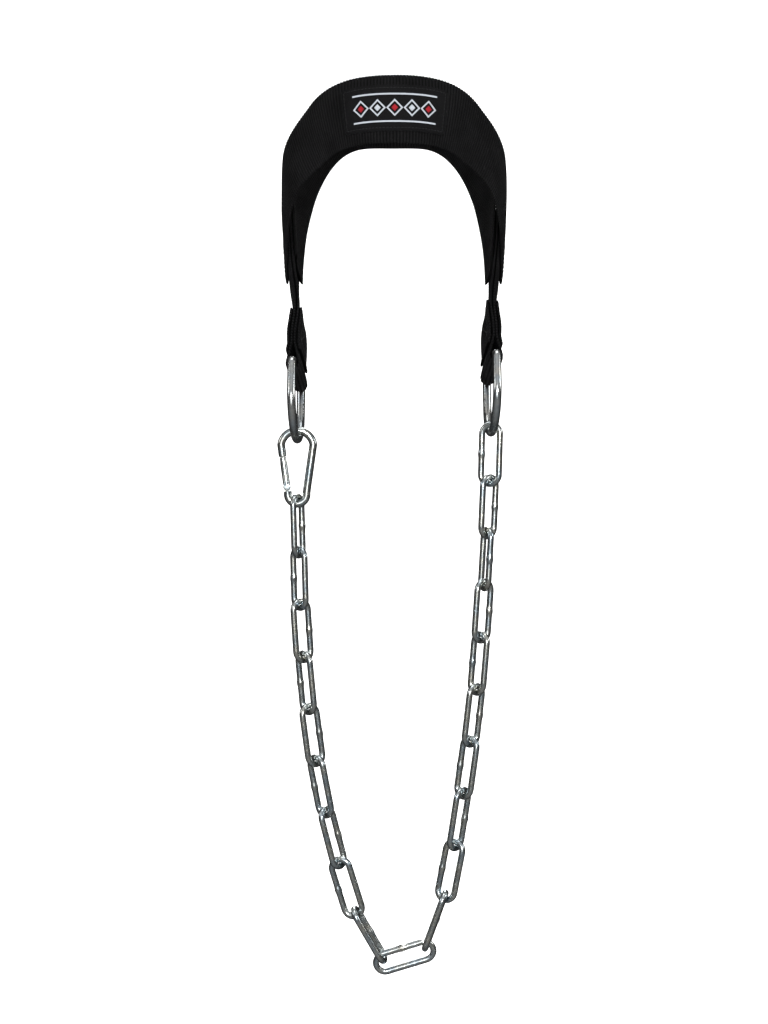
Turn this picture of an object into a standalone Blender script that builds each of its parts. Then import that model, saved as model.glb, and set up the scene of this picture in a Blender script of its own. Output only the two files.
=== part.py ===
"""Head harness: two webbing bands, side straps, D-rings, a spring snap and a chain.

The origin lies in the middle of the head's hollow, at the level where the head is widest.
The front of the head faces -Y, the crown +Z, and left is -X.
"""
import math

import bmesh
import bpy
from mathutils import Matrix, Vector

# Clearance between pieces that touch
GAP = 0.0003

# Edges sharper than this stay sharp on round pieces
SMOOTH_ANGLE = math.radians(50.0)

# Form of the head that the bands lie on, which narrows up to the crown and down to the jaw
HEAD_HALF_BREADTH = 0.0765
HEAD_HALF_LENGTH = 0.097
CROWN_RISE = 0.090
HEAD_FULLNESS = 3.4
JAW_DEPTH = 0.40

# Webbing of the two bands
WEB_WIDTH = 0.050
WEB_THICKNESS = 0.0023
FRONT_LEVEL = 0.0285
REAR_LEVEL = 0.058
BAND_ARCH = 1.7
BAND_TAIL = 0.014
LIFT_START = math.radians(48.0)
LIFT_END = math.radians(70.0)
BAND_STEPS = 44
BAND_STEPS_ACROSS = 4

# Where the two bands meet beside the head
JUNCTION_LEVEL = -0.062
JUNCTION_BACK = 0.008

# Step of the angle along a band, in radians, and of the level on the head form, in metres
ANGLE_STEP = 0.002
LEVEL_STEP = 0.0005

# Woven patch on the front band
PATCH_LENGTH = 0.076
PATCH_HEIGHT = 0.033
PATCH_THICKNESS = 0.0010
PATCH_STEPS = 14

# Side straps
STRAP_WIDTH = 0.046
STRAP_THICKNESS = 0.0046
STRAP_RISE = 0.022
STRAP_DROP_LEFT = 0.1016
STRAP_DROP_RIGHT = 0.0960
STRAP_LEAN = math.radians(20.0)
STRAP_WRAP = 0.0024
STRAP_HUG = 0.0175
BUNDLE_LENGTH = 0.046
BUNDLE_THICKNESS = 0.0102
BUNDLE_STEP = 0.003
STRAP_STEPS = 8
STRAP_STEPS_ACROSS = 6
WRAP_STEPS = 3
WRAP_END = math.radians(75.0)
BORE_SIDES = 12

# D-rings
RING_WIRE = 0.0065
RING_INNER_WIDTH = 0.050
RING_HEIGHT = 0.0578
RING_CORNER = 0.0040
RING_TOE = math.radians(4.5)
RING_HALF_SPREAD = 0.0738
RING_SIDES = 8
RING_BOW_STEPS = 14
RING_CORNER_STEPS = 3

# Spring snap
SNAP_WIRE = 0.006
SNAP_LENGTH = 0.0610
SNAP_WIDE_WIDTH = 0.0305
SNAP_NARROW_WIDTH = 0.0202
SNAP_SIDES = 10
SNAP_WIDE_STEPS = 12
SNAP_NARROW_STEPS = 10
GATE_DIAMETER = 0.0054
GATE_TOP_SHARE = 0.75
GATE_FOOT_SHARE = 0.04
GATE_SHOULDER_GAP = 0.0005
KNUCKLE_WIDTH = 0.0050
KNUCKLE_SIDES = 16
TONGUE_THICKNESS = 0.0018
TONGUE_RADIUS = 0.0022
TONGUE_ROOT = 0.0015
NOSE_TONGUE_LENGTH = 0.0030
NOSE_TONGUE_WIDTH = 0.0035
RIVET_RADIUS = 0.00095
RIVET_LENGTH = 0.0056

# Chain
LINK_COUNT = 20
LINK_WIRE = 0.0046
LINK_LENGTH = 0.0494
LINK_WIDTH = 0.0188
LINK_SLACK = 0.0008
LINK_WIRE_SIDES = 6
LINK_BOW_STEPS = 7
ROUTE_STEPS = 40
HALVINGS = 40

# Route of the hanging chain from the snap to the right ring, as shares of half
# the rings' distance and of the depth below the right ring
CHAIN_ROUTE = [
    (-0.975, 0.20),
    (-0.965, 0.30),
    (-0.920, 0.43),
    (-0.850, 0.55),
    (-0.735, 0.68),
    (-0.520, 0.83),
    (-0.260, 0.955),
    (0.080, 1.000),
    (0.400, 0.940),
    (0.560, 0.83),
    (0.700, 0.68),
    (0.830, 0.50),
    (0.910, 0.32),
    (0.965, 0.14),
]

# Turn of each link about its own length, away from facing the front
LINK_TURNS = [
    66, -50, 42, -50, 42, -46, 54, -16, 80, -6,
    -82, 30, -50, 46, -46, 50, -42, 70, -44, 20,
]


def clear_scene():
    """Remove every object that the scene starts with."""
    for item in list(bpy.data.objects):
        bpy.data.objects.remove(item, do_unlink=True)


def make_material(name, colour, roughness, metallic=0.0):
    """Return a Principled material with a plain colour."""
    material = bpy.data.materials.new(name)
    material.use_nodes = True
    shader = material.node_tree.nodes["Principled BSDF"]
    shader.inputs["Base Color"].default_value = (*colour, 1.0)
    shader.inputs["Roughness"].default_value = roughness
    shader.inputs["Metallic"].default_value = metallic
    return material


def add_object(name, shell, material):
    """Return an object made from a bmesh, with its faces turned out, and free the bmesh."""
    bmesh.ops.recalc_face_normals(shell, faces=shell.faces)
    mesh = bpy.data.meshes.new(name)
    shell.to_mesh(mesh)
    shell.free()
    mesh.materials.append(material)
    item = bpy.data.objects.new(name, mesh)
    bpy.context.scene.collection.objects.link(item)
    return item


def make_object(name, points, faces, material):
    """Return an object from points and faces."""
    shell = bmesh.new()
    corners = [shell.verts.new(point) for point in points]
    for face in faces:
        shell.faces.new([corners[index] for index in face])
    return add_object(name, shell, material)


def shade_round(item):
    """Shade a round piece smooth, with its sharp edges kept."""
    item.data.shade_smooth()
    item.data.set_sharp_from_angle(angle=SMOOTH_ANGLE)
    return item


def smooth_step(value, low, high):
    """Return a share that rises smoothly from 0 at low to 1 at high."""
    share = min(max((value - low) / (high - low), 0.0), 1.0)
    return share * share * (3.0 - 2.0 * share)


def head_share(level):
    """Return how much of the head's plan outline is left at a level."""
    if level < 0.0:
        return 1.0 - (level / JAW_DEPTH) ** 2
    rise = min(level / CROWN_RISE, 0.97)
    return (1.0 - rise ** HEAD_FULLNESS) ** (1.0 / HEAD_FULLNESS)


def on_head(point, offset):
    """Return the point moved level to the head form, then out along its normal."""
    share = head_share(point.z)
    reach = math.hypot(point.x / HEAD_HALF_BREADTH, point.y / HEAD_HALF_LENGTH)
    seat = Vector((point.x * share / reach, point.y * share / reach, point.z))
    rise = head_share(point.z + LEVEL_STEP) - head_share(point.z - LEVEL_STEP)
    slope = rise / (2.0 * LEVEL_STEP)
    normal = Vector((seat.x / HEAD_HALF_BREADTH ** 2, seat.y / HEAD_HALF_LENGTH ** 2, -share * slope))
    return seat + normal.normalized() * offset


def band_centre(angle, far_level, facing):
    """Return a point of a band's centre line, which arches down to where the bands meet.

    The angle runs from the band's middle, and facing is -1 in front and 1 behind.
    """
    meeting = 1.0 - facing * JUNCTION_BACK / HEAD_HALF_LENGTH
    fall = ((1.0 - math.cos(angle)) / meeting) ** BAND_ARCH
    level = far_level + (JUNCTION_LEVEL - far_level) * fall
    share = head_share(level)
    x = HEAD_HALF_BREADTH * share * math.sin(angle)
    return Vector((x, facing * HEAD_HALF_LENGTH * share * math.cos(angle), level))


def band_point(angle, across, far_level, facing, offset):
    """Return a point of a band at a distance across from its centre line."""
    centre = band_centre(angle, far_level, facing)
    before = band_centre(angle - ANGLE_STEP, far_level, facing)
    ahead = band_centre(angle + ANGLE_STEP, far_level, facing) - before
    outward = on_head(centre, 1.0) - on_head(centre, 0.0)
    side = outward.cross(ahead).normalized()
    if side.z < 0.0:
        side.negate()
    return on_head(centre + side * across, offset)


def angle_beyond_junction(far_level, facing):
    """Return the angle at which a band's tail ends, past the junction."""
    angle = math.acos(facing * JUNCTION_BACK / HEAD_HALF_LENGTH)
    run = 0.0
    spot = band_centre(angle, far_level, facing)
    while run < BAND_TAIL:
        angle += ANGLE_STEP
        after = band_centre(angle, far_level, facing)
        run += (after - spot).length
        spot = after
    return angle


def sheet_solid(name, rows, thick_rows, material):
    """Return a closed sheet between two grids of points."""
    count = len(rows)
    width = len(rows[0])
    points = [point for row in rows for point in row] + [point for row in thick_rows for point in row]
    back = count * width
    faces = []
    for row in range(count - 1):
        for column in range(width - 1):
            corner = row * width + column
            quad = (corner, corner + 1, corner + width + 1, corner + width)
            faces.append(quad)
            faces.append(tuple(back + index for index in reversed(quad)))
    rim = [column for column in range(width)]
    rim += [row * width + width - 1 for row in range(1, count)]
    rim += [(count - 1) * width + column for column in range(width - 2, -1, -1)]
    rim += [row * width for row in range(count - 2, 0, -1)]
    for index, first in enumerate(rim):
        second = rim[(index + 1) % len(rim)]
        faces.append((first, back + first, back + second, second))
    return make_object(name, points, faces, material)


def build_band(name, far_level, facing, lift, material):
    """Return a band, which is lifted off the head by lift where the bands meet."""
    end = angle_beyond_junction(far_level, facing)
    inner = []
    outer = []
    for step in range(BAND_STEPS + 1):
        angle = end * (2.0 * step / BAND_STEPS - 1.0)
        offset = lift * smooth_step(abs(angle), LIFT_START, LIFT_END)
        inner_row = []
        outer_row = []
        for column in range(BAND_STEPS_ACROSS + 1):
            across = WEB_WIDTH * (column / BAND_STEPS_ACROSS - 0.5)
            inner_row.append(band_point(angle, across, far_level, facing, offset))
            outer_row.append(band_point(angle, across, far_level, facing, offset + WEB_THICKNESS))
        inner.append(inner_row)
        outer.append(outer_row)
    return sheet_solid(name, inner, outer, material)


def build_patch(material):
    """Return the woven patch on the middle of the front band."""
    reach = PATCH_LENGTH / 2.0 / HEAD_HALF_BREADTH / head_share(FRONT_LEVEL)
    low = WEB_THICKNESS + GAP
    inner = []
    outer = []
    for step in range(PATCH_STEPS + 1):
        angle = math.asin(reach * (2.0 * step / PATCH_STEPS - 1.0))
        inner_row = []
        outer_row = []
        for column in range(BAND_STEPS_ACROSS + 1):
            across = PATCH_HEIGHT * (column / BAND_STEPS_ACROSS - 0.5)
            inner_row.append(band_point(angle, across, FRONT_LEVEL, -1, low))
            outer_row.append(band_point(angle, across, FRONT_LEVEL, -1, low + PATCH_THICKNESS))
        inner.append(inner_row)
        outer.append(outer_row)
    return sheet_solid("label_patch", inner, outer, material)


def lean_direction():
    """Return the direction in which the side straps hang down and forward."""
    return Vector((0.0, -math.sin(STRAP_LEAN), -math.cos(STRAP_LEAN)))


def bar_direction(side):
    """Return the direction of a ring's bar, from front to back."""
    level = Vector((-side * math.sin(RING_TOE), math.cos(RING_TOE), 0.0))
    down = lean_direction()
    return (level - down * level.dot(down)).normalized()


def bar_centre(side):
    """Return the middle of a ring's bar."""
    drop = STRAP_DROP_LEFT if side < 0 else STRAP_DROP_RIGHT
    start = Vector((side * RING_HALF_SPREAD, JUNCTION_BACK, JUNCTION_LEVEL))
    return start + lean_direction() * drop


def strap_profile(length):
    """Return rows of distance down the strap and half its thickness there."""
    eye = RING_WIRE / 2.0 + GAP + STRAP_WRAP
    thin = STRAP_THICKNESS / 2.0
    thick = BUNDLE_THICKNESS / 2.0
    bundle = length - BUNDLE_LENGTH
    single = bundle - BUNDLE_STEP
    rows = []
    for step in range(STRAP_STEPS):
        if length * step / STRAP_STEPS < single * (1.0 - 0.5 / STRAP_STEPS):
            rows.append((length * step / STRAP_STEPS, thin))
    rows.append((single, thin))
    rows.append((bundle, thick))
    rows.append((length - BUNDLE_LENGTH / 2.0, thick))
    rows.append((length - eye, thick))
    rows.append((length, eye))
    for step in range(1, WRAP_STEPS + 1):
        angle = WRAP_END * step / WRAP_STEPS
        rows.append((length + eye * math.sin(angle), eye * math.cos(angle)))
    return rows


def strap_on_head(spot, side):
    """Return x of a strap's middle where it lies on the rear band, beside a point."""
    layer = WEB_THICKNESS + GAP + STRAP_THICKNESS / 2.0
    bend = math.sqrt(head_share(spot.z) ** 2 - (spot.y / HEAD_HALF_LENGTH) ** 2)
    hug = Vector((side * HEAD_HALF_BREADTH * bend, spot.y, spot.z))
    normal = on_head(hug, 1.0) - on_head(hug, 0.0)
    return hug.x + layer / abs(normal.x) * side


def build_strap(side, material):
    """Return a side strap with an eye for its ring's bar."""
    name = "side_strap_left" if side < 0 else "side_strap_right"
    drop = STRAP_DROP_LEFT if side < 0 else STRAP_DROP_RIGHT
    length = drop + STRAP_RISE
    down = lean_direction()
    across = Vector((0.0, math.cos(STRAP_LEAN), -math.sin(STRAP_LEAN)))
    bar = bar_centre(side)
    bar_run = bar_direction(side)
    top = Vector((0.0, JUNCTION_BACK, JUNCTION_LEVEL)) - down * STRAP_RISE
    leave = STRAP_RISE + BAND_TAIL + STRAP_HUG
    loops = []
    for column in range(STRAP_STEPS_ACROSS + 1):
        reach = STRAP_WIDTH * (column / STRAP_STEPS_ACROSS - 0.5)
        left_side = []
        right_side = []
        for run, half in strap_profile(length):
            spot = top + down * run + across * reach
            flat_x = bar.x + bar_run.x / across.dot(bar_run) * reach
            share = smooth_step(run, leave, length - BUNDLE_LENGTH * 0.5)
            x = flat_x * share
            if share < 1.0:
                x += strap_on_head(spot, side) * (1.0 - share)
            left_side.append(Vector((x - half, spot.y, spot.z)))
            right_side.append(Vector((x + half, spot.y, spot.z)))
        loops.append(left_side + list(reversed(right_side)))
    size = len(loops[0])
    points = [point for loop in loops for point in loop]
    faces = []
    for column in range(STRAP_STEPS_ACROSS):
        for index in range(size):
            after = (index + 1) % size
            low = column * size
            faces.append((low + index, low + after, low + size + after, low + size + index))
    last = STRAP_STEPS_ACROSS * size
    for index in range(size // 2 - 1):
        far = size - 1 - index
        faces.append((index, index + 1, far - 1, far))
        faces.append((last + index, last + far, last + far - 1, last + index + 1))
    strap = make_object(name, points, faces, material)
    eye_radius = RING_WIRE / 2.0 + GAP
    eye = build_rod(name + "_eye", bar, bar_run, eye_radius, RING_INNER_WIDTH * 2.0, BORE_SIDES, material)
    cut_by(strap, eye, "DIFFERENCE")
    return strap


def build_rod(name, centre, direction, radius, length, sides, material):
    """Return a straight round rod about a centre point."""
    shell = bmesh.new()
    bmesh.ops.create_cone(
        shell, cap_ends=True, segments=sides, radius1=radius, radius2=radius, depth=length
    )
    turn = direction.to_track_quat("Z", "X").to_matrix().to_4x4()
    bmesh.ops.transform(shell, matrix=Matrix.Translation(centre) @ turn, verts=shell.verts)
    return add_object(name, shell, material)


def cut_by(item, tool, operation):
    """Give an object a Boolean with a hidden tool object."""
    tool.hide_render = True
    tool.display_type = "WIRE"
    change = item.modifiers.new(tool.name, "BOOLEAN")
    change.operation = operation
    change.solver = "EXACT"
    change.object = tool


def tube_solid(name, path, radius, sides, closed, material):
    """Return a round tube along points in one plane, closed in a loop or capped."""
    count = len(path)
    plane = Vector((0.0, 0.0, 0.0))
    middle = sum(path, Vector((0.0, 0.0, 0.0))) / count
    for index in range(count - 1):
        plane += (path[index] - middle).cross(path[index + 1] - middle)
    plane.normalize()
    points = []
    for index, spot in enumerate(path):
        before = path[index - 1] if closed or index > 0 else spot
        after = path[(index + 1) % count] if closed or index < count - 1 else spot
        along_in = (spot - before).normalized() if spot != before else (after - spot).normalized()
        along_out = (after - spot).normalized() if spot != after else along_in
        along = (along_in + along_out).normalized()
        stretch = 1.0 / max(along.dot(along_in), 0.5)
        side = along.cross(plane).normalized()
        for corner in range(sides):
            angle = math.tau * (corner + 0.5) / sides
            sideways = side * (radius * stretch * math.cos(angle))
            points.append(spot + sideways + plane * (radius * math.sin(angle)))
    faces = []
    for index in range(count if closed else count - 1):
        low = index * sides
        high = (index + 1) % count * sides
        for corner in range(sides):
            after = (corner + 1) % sides
            faces.append((low + corner, low + after, high + after, high + corner))
    if not closed:
        faces.append(tuple(range(sides)))
        faces.append(tuple((count - 1) * sides + corner for corner in reversed(range(sides))))
    return shade_round(make_object(name, points, faces, material))


def arc_points(centre, radius, first, last, steps):
    """Return points of an arc in a plane, both ends included, angles in degrees."""
    points = []
    for step in range(steps + 1):
        angle = math.radians(first + (last - first) * step / steps)
        points.append((centre[0] + radius * math.cos(angle), centre[1] + radius * math.sin(angle)))
    return points


def ring_bottom(side):
    """Return the wire's centre where a ring's bow is lowest."""
    bow = (RING_INNER_WIDTH + RING_WIRE) / 2.0
    middle = bar_centre(side) + lean_direction() * (RING_HEIGHT - RING_WIRE - bow)
    face = bar_direction(side).cross(lean_direction()).normalized()
    fall = Vector((0.0, 0.0, -1.0))
    return middle + (fall - face * face.dot(fall)).normalized() * bow


def build_ring(side, material):
    """Return a D-ring whose bar lies in the strap's eye."""
    bow = (RING_INNER_WIDTH + RING_WIRE) / 2.0
    leg = RING_HEIGHT - RING_WIRE - bow
    outline = arc_points((bow - RING_CORNER, -RING_CORNER), RING_CORNER, 90.0, 0.0, RING_CORNER_STEPS)
    outline += arc_points((0.0, -leg), bow, 0.0, -180.0, RING_BOW_STEPS)
    outline += arc_points((RING_CORNER - bow, -RING_CORNER), RING_CORNER, 180.0, 90.0, RING_CORNER_STEPS)
    centre = bar_centre(side)
    run = bar_direction(side)
    down = lean_direction()
    path = [centre + run * across - down * rise for across, rise in outline]
    name = "ring_left" if side < 0 else "ring_right"
    return tube_solid(name, path, RING_WIRE / 2.0, RING_SIDES, True, material)


class SnapOutline:
    """Places along the snap's wire, in the plane that faces the front."""

    def __init__(self):
        """Work out both bows, the left leg and the gate's ends."""
        self.wide = (SNAP_WIDE_WIDTH - SNAP_WIRE) / 2.0
        self.narrow = (SNAP_NARROW_WIDTH - SNAP_WIRE) / 2.0
        self.reach = SNAP_LENGTH - SNAP_WIRE - self.wide - self.narrow
        self.tilt = math.degrees(math.asin((self.wide - self.narrow) / self.reach))
        top = ring_bottom(-1)
        rise = RING_WIRE / 2.0 + SNAP_WIRE / 2.0 + GAP
        self.wide_centre = Vector((top.x, top.y, top.z + rise - self.wide))
        self.narrow_centre = self.wide_centre - Vector((0.0, 0.0, self.reach))

    def leg_point(self, share):
        """Return a point of the left leg, from the narrow bow up to the wide bow."""
        angle = math.radians(180.0 - self.tilt)
        out = Vector((math.cos(angle), 0.0, math.sin(angle)))
        foot = self.narrow_centre + out * self.narrow
        head = self.wide_centre + out * self.wide
        return foot.lerp(head, share)

    def leg_direction(self):
        """Return the direction of the left leg, upward."""
        return (self.leg_point(1.0) - self.leg_point(0.0)).normalized()

    def wire_path(self):
        """Return the wire's points from the gate's foot, round both bows, to the nose."""
        path = [self.leg_point(GATE_FOOT_SHARE)]
        low = arc_points((0.0, 0.0), self.narrow, 180.0 - self.tilt, 360.0 + self.tilt, SNAP_NARROW_STEPS)
        path += [self.narrow_centre + Vector((x, 0.0, z)) for x, z in low]
        high = arc_points((0.0, 0.0), self.wide, self.tilt, 180.0 - self.tilt, SNAP_WIDE_STEPS)
        path += [self.wide_centre + Vector((x, 0.0, z)) for x, z in high]
        path.append(self.leg_point(GATE_TOP_SHARE))
        return path

    def pivot(self):
        """Return the middle of the gate's rivet."""
        clear = GATE_DIAMETER / 2.0 + GAP
        return self.leg_point(GATE_FOOT_SHARE) + self.leg_direction() * clear


def build_box(name, centre, along, sizes, material):
    """Return a box whose third size runs along a direction in the front plane."""
    shell = bmesh.new()
    bmesh.ops.create_cube(shell, size=1.0)
    sideways = Vector((along.z, 0.0, -along.x))
    turn = Matrix((sideways, Vector((0.0, 1.0, 0.0)), along)).transposed().to_4x4()
    scale = Matrix.Diagonal((*sizes, 1.0))
    bmesh.ops.transform(shell, matrix=Matrix.Translation(centre) @ turn @ scale, verts=shell.verts)
    return add_object(name, shell, material)


def build_snap_body(outline, material):
    """Return the snap's bent wire with a flat tongue at each end."""
    up = outline.leg_direction()
    pivot = outline.pivot()
    across = Vector((0.0, 1.0, 0.0))
    body = tube_solid("snap_hook", outline.wire_path(), SNAP_WIRE / 2.0, SNAP_SIDES, False, material)
    foot = outline.leg_point(GATE_FOOT_SHARE)
    height = (pivot - foot).length + TONGUE_ROOT
    sizes = (TONGUE_RADIUS * 2.0, TONGUE_THICKNESS, height)
    tongue = build_box("foot_tongue", pivot - up * (height / 2.0), up, sizes, material)
    cut_by(body, tongue, "UNION")
    eye = build_rod("foot_eye", pivot, across, TONGUE_RADIUS, TONGUE_THICKNESS, KNUCKLE_SIDES, material)
    cut_by(body, eye, "UNION")
    depth = TONGUE_THICKNESS * 3.0
    bore = build_rod("rivet_bore", pivot, across, RIVET_RADIUS + GAP, depth, BORE_SIDES, material)
    cut_by(body, bore, "DIFFERENCE")
    reach = NOSE_TONGUE_LENGTH + TONGUE_ROOT
    middle = outline.leg_point(GATE_TOP_SHARE) - up * (NOSE_TONGUE_LENGTH - reach / 2.0)
    tip = build_box("nose_tongue", middle, up, (NOSE_TONGUE_WIDTH, TONGUE_THICKNESS, reach), material)
    cut_by(body, tip, "UNION")
    return body


def build_gate(outline, material):
    """Return the gate, slotted at both ends, with its rivet; its origin is on the hinge axis."""
    up = outline.leg_direction()
    pivot = outline.pivot()
    across = Vector((0.0, 1.0, 0.0))
    top = outline.leg_point(GATE_TOP_SHARE) - up * GATE_SHOULDER_GAP
    length = (top - pivot).length
    radius = GATE_DIAMETER / 2.0
    gate = build_rod("snap_gate", pivot.lerp(top, 0.5), up, radius, length, SNAP_SIDES, material)
    shade_round(gate)
    gate.data.transform(Matrix.Translation(-pivot))
    gate.location = pivot
    knuckle = build_rod("gate_knuckle", pivot, across, radius, KNUCKLE_WIDTH, KNUCKLE_SIDES, material)
    cut_by(gate, knuckle, "UNION")
    slot = TONGUE_THICKNESS + GAP * 2.0
    wide = GATE_DIAMETER * 2.0
    foot_depth = TONGUE_RADIUS + GAP * 2.0
    foot_middle = pivot + up * (foot_depth / 2.0 - radius)
    foot_slot = build_box("foot_slot", foot_middle, up, (wide, slot, foot_depth + GATE_DIAMETER), material)
    cut_by(gate, foot_slot, "DIFFERENCE")
    head_depth = NOSE_TONGUE_LENGTH + GAP * 2.0
    head_slot = build_box("head_slot", top, up, (wide, slot, head_depth * 2.0), material)
    cut_by(gate, head_slot, "DIFFERENCE")
    rivet = build_rod("rivet", pivot, across, RIVET_RADIUS, RIVET_LENGTH, BORE_SIDES, material)
    cut_by(gate, rivet, "UNION")
    return gate


def link_outline():
    """Return a link's wire line in its own plane, length along the first axis."""
    bow = (LINK_WIDTH - LINK_WIRE) / 2.0
    half = (LINK_LENGTH - LINK_WIDTH) / 2.0
    outline = arc_points((half, 0.0), bow, -90.0, 90.0, LINK_BOW_STEPS)
    outline += arc_points((-half, 0.0), bow, 90.0, 270.0, LINK_BOW_STEPS)
    return outline


def route_curve(depth):
    """Return close points along the chain's route for a depth below the right ring."""
    start = SnapOutline()
    snap_floor = start.narrow_centre - Vector((0.0, 0.0, start.narrow - SNAP_WIRE / 2.0))
    ring_floor = ring_bottom(1) + Vector((0.0, 0.0, RING_WIRE / 2.0))
    knots = [snap_floor]
    for index, (spread, share) in enumerate(CHAIN_ROUTE):
        back = (index + 1) / (len(CHAIN_ROUTE) + 1)
        y = snap_floor.y + (ring_floor.y - snap_floor.y) * back
        knots.append(Vector((spread * RING_HALF_SPREAD, y, ring_floor.z - share * depth)))
    knots.append(ring_floor)
    padded = [knots[0] * 2.0 - knots[1]] + knots + [knots[-1] * 2.0 - knots[-2]]
    curve = []
    for index in range(1, len(padded) - 2):
        a, b, c, d = padded[index - 1:index + 3]
        for step in range(ROUTE_STEPS):
            t = step / ROUTE_STEPS
            curve.append(
                (b * 2.0 + (c - a) * t + (a * 2.0 - b * 5.0 + c * 4.0 - d) * t ** 2
                 + (b * 3.0 - a - c * 3.0 + d) * t ** 3) * 0.5
            )
    curve.append(knots[-1])
    return curve


def step_along(curve, spans):
    """Return the points that straight spans reach along a curve, and the length left."""
    points = [curve[0]]
    index = 1
    for span in spans:
        while index < len(curve) and (curve[index] - points[-1]).length < span:
            index += 1
        if index == len(curve):
            left = sum(spans[len(points) - 1:]) - (curve[-1] - points[-1]).length
            return points, -left
        before = curve[index - 1]
        low, high = 0.0, 1.0
        for _ in range(HALVINGS):
            middle = (low + high) / 2.0
            if (before.lerp(curve[index], middle) - points[-1]).length < span:
                low = middle
            else:
                high = middle
        points.append(before.lerp(curve[index], high))
    left = (curve[-1] - points[-1]).length
    return points, left


def link_pitch():
    """Return the length that each link adds to the chain."""
    return LINK_LENGTH - LINK_WIRE * 2.0 - LINK_SLACK


def link_spans():
    """Return the distances between bends of the chain, link by link.

    At a sharp bend a link that faces the front swings about its bow's centre, so the
    links that stand edge-on reach further, to the bow centres of their neighbours.
    """
    facing = LINK_LENGTH - LINK_WIDTH
    edge_on = link_pitch() * 2.0 - facing
    spans = [edge_on if index % 2 == 0 else facing for index in range(LINK_COUNT)]
    overhang = (edge_on - link_pitch()) / 2.0
    spans[0] -= overhang
    spans[-1] += overhang
    return spans


def chain_joints():
    """Return the chain's bends, with the depth at which the last link meets its ring."""
    spans = link_spans()
    low = sum(spans) / 4.0
    high = sum(spans)
    for _ in range(HALVINGS):
        depth = (low + high) / 2.0
        if step_along(route_curve(depth), spans)[1] > 0.0:
            high = depth
        else:
            low = depth
    return step_along(route_curve(high), spans)[0]


def build_chain(material):
    """Return the chain's links, from the snap to the right ring."""
    joints = chain_joints()
    links = []
    for index in range(LINK_COUNT):
        first, last = joints[index], joints[index + 1]
        along = (last - first).normalized()
        middle = first.lerp(last, 0.5)
        if index == 0:
            middle = first + along * (link_pitch() / 2.0)
        if index == LINK_COUNT - 1:
            middle = last - along * (link_pitch() / 2.0)
        back = Vector((0.0, 1.0, 0.0))
        back = (back - along * back.dot(along)).normalized()
        flat = along.cross(back)
        turn = math.radians(LINK_TURNS[index % len(LINK_TURNS)])
        width = flat * math.cos(turn) + back * math.sin(turn)
        path = [middle + along * run + width * reach for run, reach in link_outline()]
        name = "chain_link_%02d" % (index + 1)
        links.append(tube_solid(name, path, LINK_WIRE / 2.0, LINK_WIRE_SIDES, True, material))
    return links


def main():
    """Build every piece of the harness."""
    clear_scene()
    webbing = make_material("black_webbing", (0.012, 0.012, 0.013), 0.85)
    patch = make_material("patch_cloth", (0.02, 0.02, 0.022), 0.7)
    ring_steel = make_material("ring_steel", (0.62, 0.63, 0.64), 0.25, 1.0)
    chain_steel = make_material("chain_steel", (0.60, 0.62, 0.64), 0.28, 1.0)
    snap_steel = make_material("snap_steel", (0.60, 0.62, 0.63), 0.28, 1.0)
    layers = WEB_THICKNESS + STRAP_THICKNESS + GAP * 3.0
    build_band("rear_band", REAR_LEVEL, 1, 0.0, webbing)
    build_band("front_band", FRONT_LEVEL, -1, layers, webbing)
    build_patch(patch)
    for side in (-1, 1):
        build_strap(side, webbing)
        build_ring(side, ring_steel)
    outline = SnapOutline()
    build_snap_body(outline, snap_steel)
    build_gate(outline, snap_steel)
    build_chain(chain_steel)


main()
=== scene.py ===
"""Looks of a head harness with a hanging chain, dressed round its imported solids.

Places are in metres. The crown is at +Z, the forehead at -Y and the left side at -X.
"""

import bisect
import logging
import math
from collections.abc import Callable, Sequence
from dataclasses import dataclass, field
from enum import Enum

import bmesh
import bpy
import numpy as np
from mathutils import Matrix, Vector, noise


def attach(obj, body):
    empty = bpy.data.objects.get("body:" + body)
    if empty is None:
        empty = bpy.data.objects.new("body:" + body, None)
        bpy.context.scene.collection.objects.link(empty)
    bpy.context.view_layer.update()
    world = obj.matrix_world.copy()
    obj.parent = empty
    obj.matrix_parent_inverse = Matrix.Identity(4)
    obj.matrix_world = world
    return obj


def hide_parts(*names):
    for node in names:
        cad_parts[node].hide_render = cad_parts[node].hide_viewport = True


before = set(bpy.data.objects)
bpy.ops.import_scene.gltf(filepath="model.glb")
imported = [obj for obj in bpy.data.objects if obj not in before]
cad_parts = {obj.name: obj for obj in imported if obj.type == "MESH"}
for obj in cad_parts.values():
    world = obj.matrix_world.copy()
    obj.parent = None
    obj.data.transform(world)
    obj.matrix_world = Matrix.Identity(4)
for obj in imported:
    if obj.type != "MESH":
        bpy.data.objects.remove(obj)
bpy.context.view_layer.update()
LOG = logging.getLogger("head_harness")
GAP = 0.0003
STEEL_ANGLE = 40.0
ROD_SIDES = 28

Place = Callable[[float, float], Vector]
Surface = Callable[[float, float, float], Vector]
Flat = tuple[float, float]
Colour = tuple[float, float, float]


class Side(Enum):
    """A side of the head, as the photograph shows it."""

    LEFT = -1
    RIGHT = 1

    @property
    def word(self) -> str:
        """Return the side's name in small letters."""
        return self.name.lower()


class Facing(Enum):
    """The half of the head that a band goes round, as the sign of its y."""

    FRONT = -1
    REAR = 1


class Body(Enum):
    """The bodies that pieces ride on."""

    HARNESS = "harness"
    GATE = "gate"


class Slot(Enum):
    """The record's material slots."""

    WEBBING = "webbing"
    PATCH = "patch"
    RING = "ring_steel"
    SNAP = "snap_steel"
    CHAIN = "chain_steel"


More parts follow.
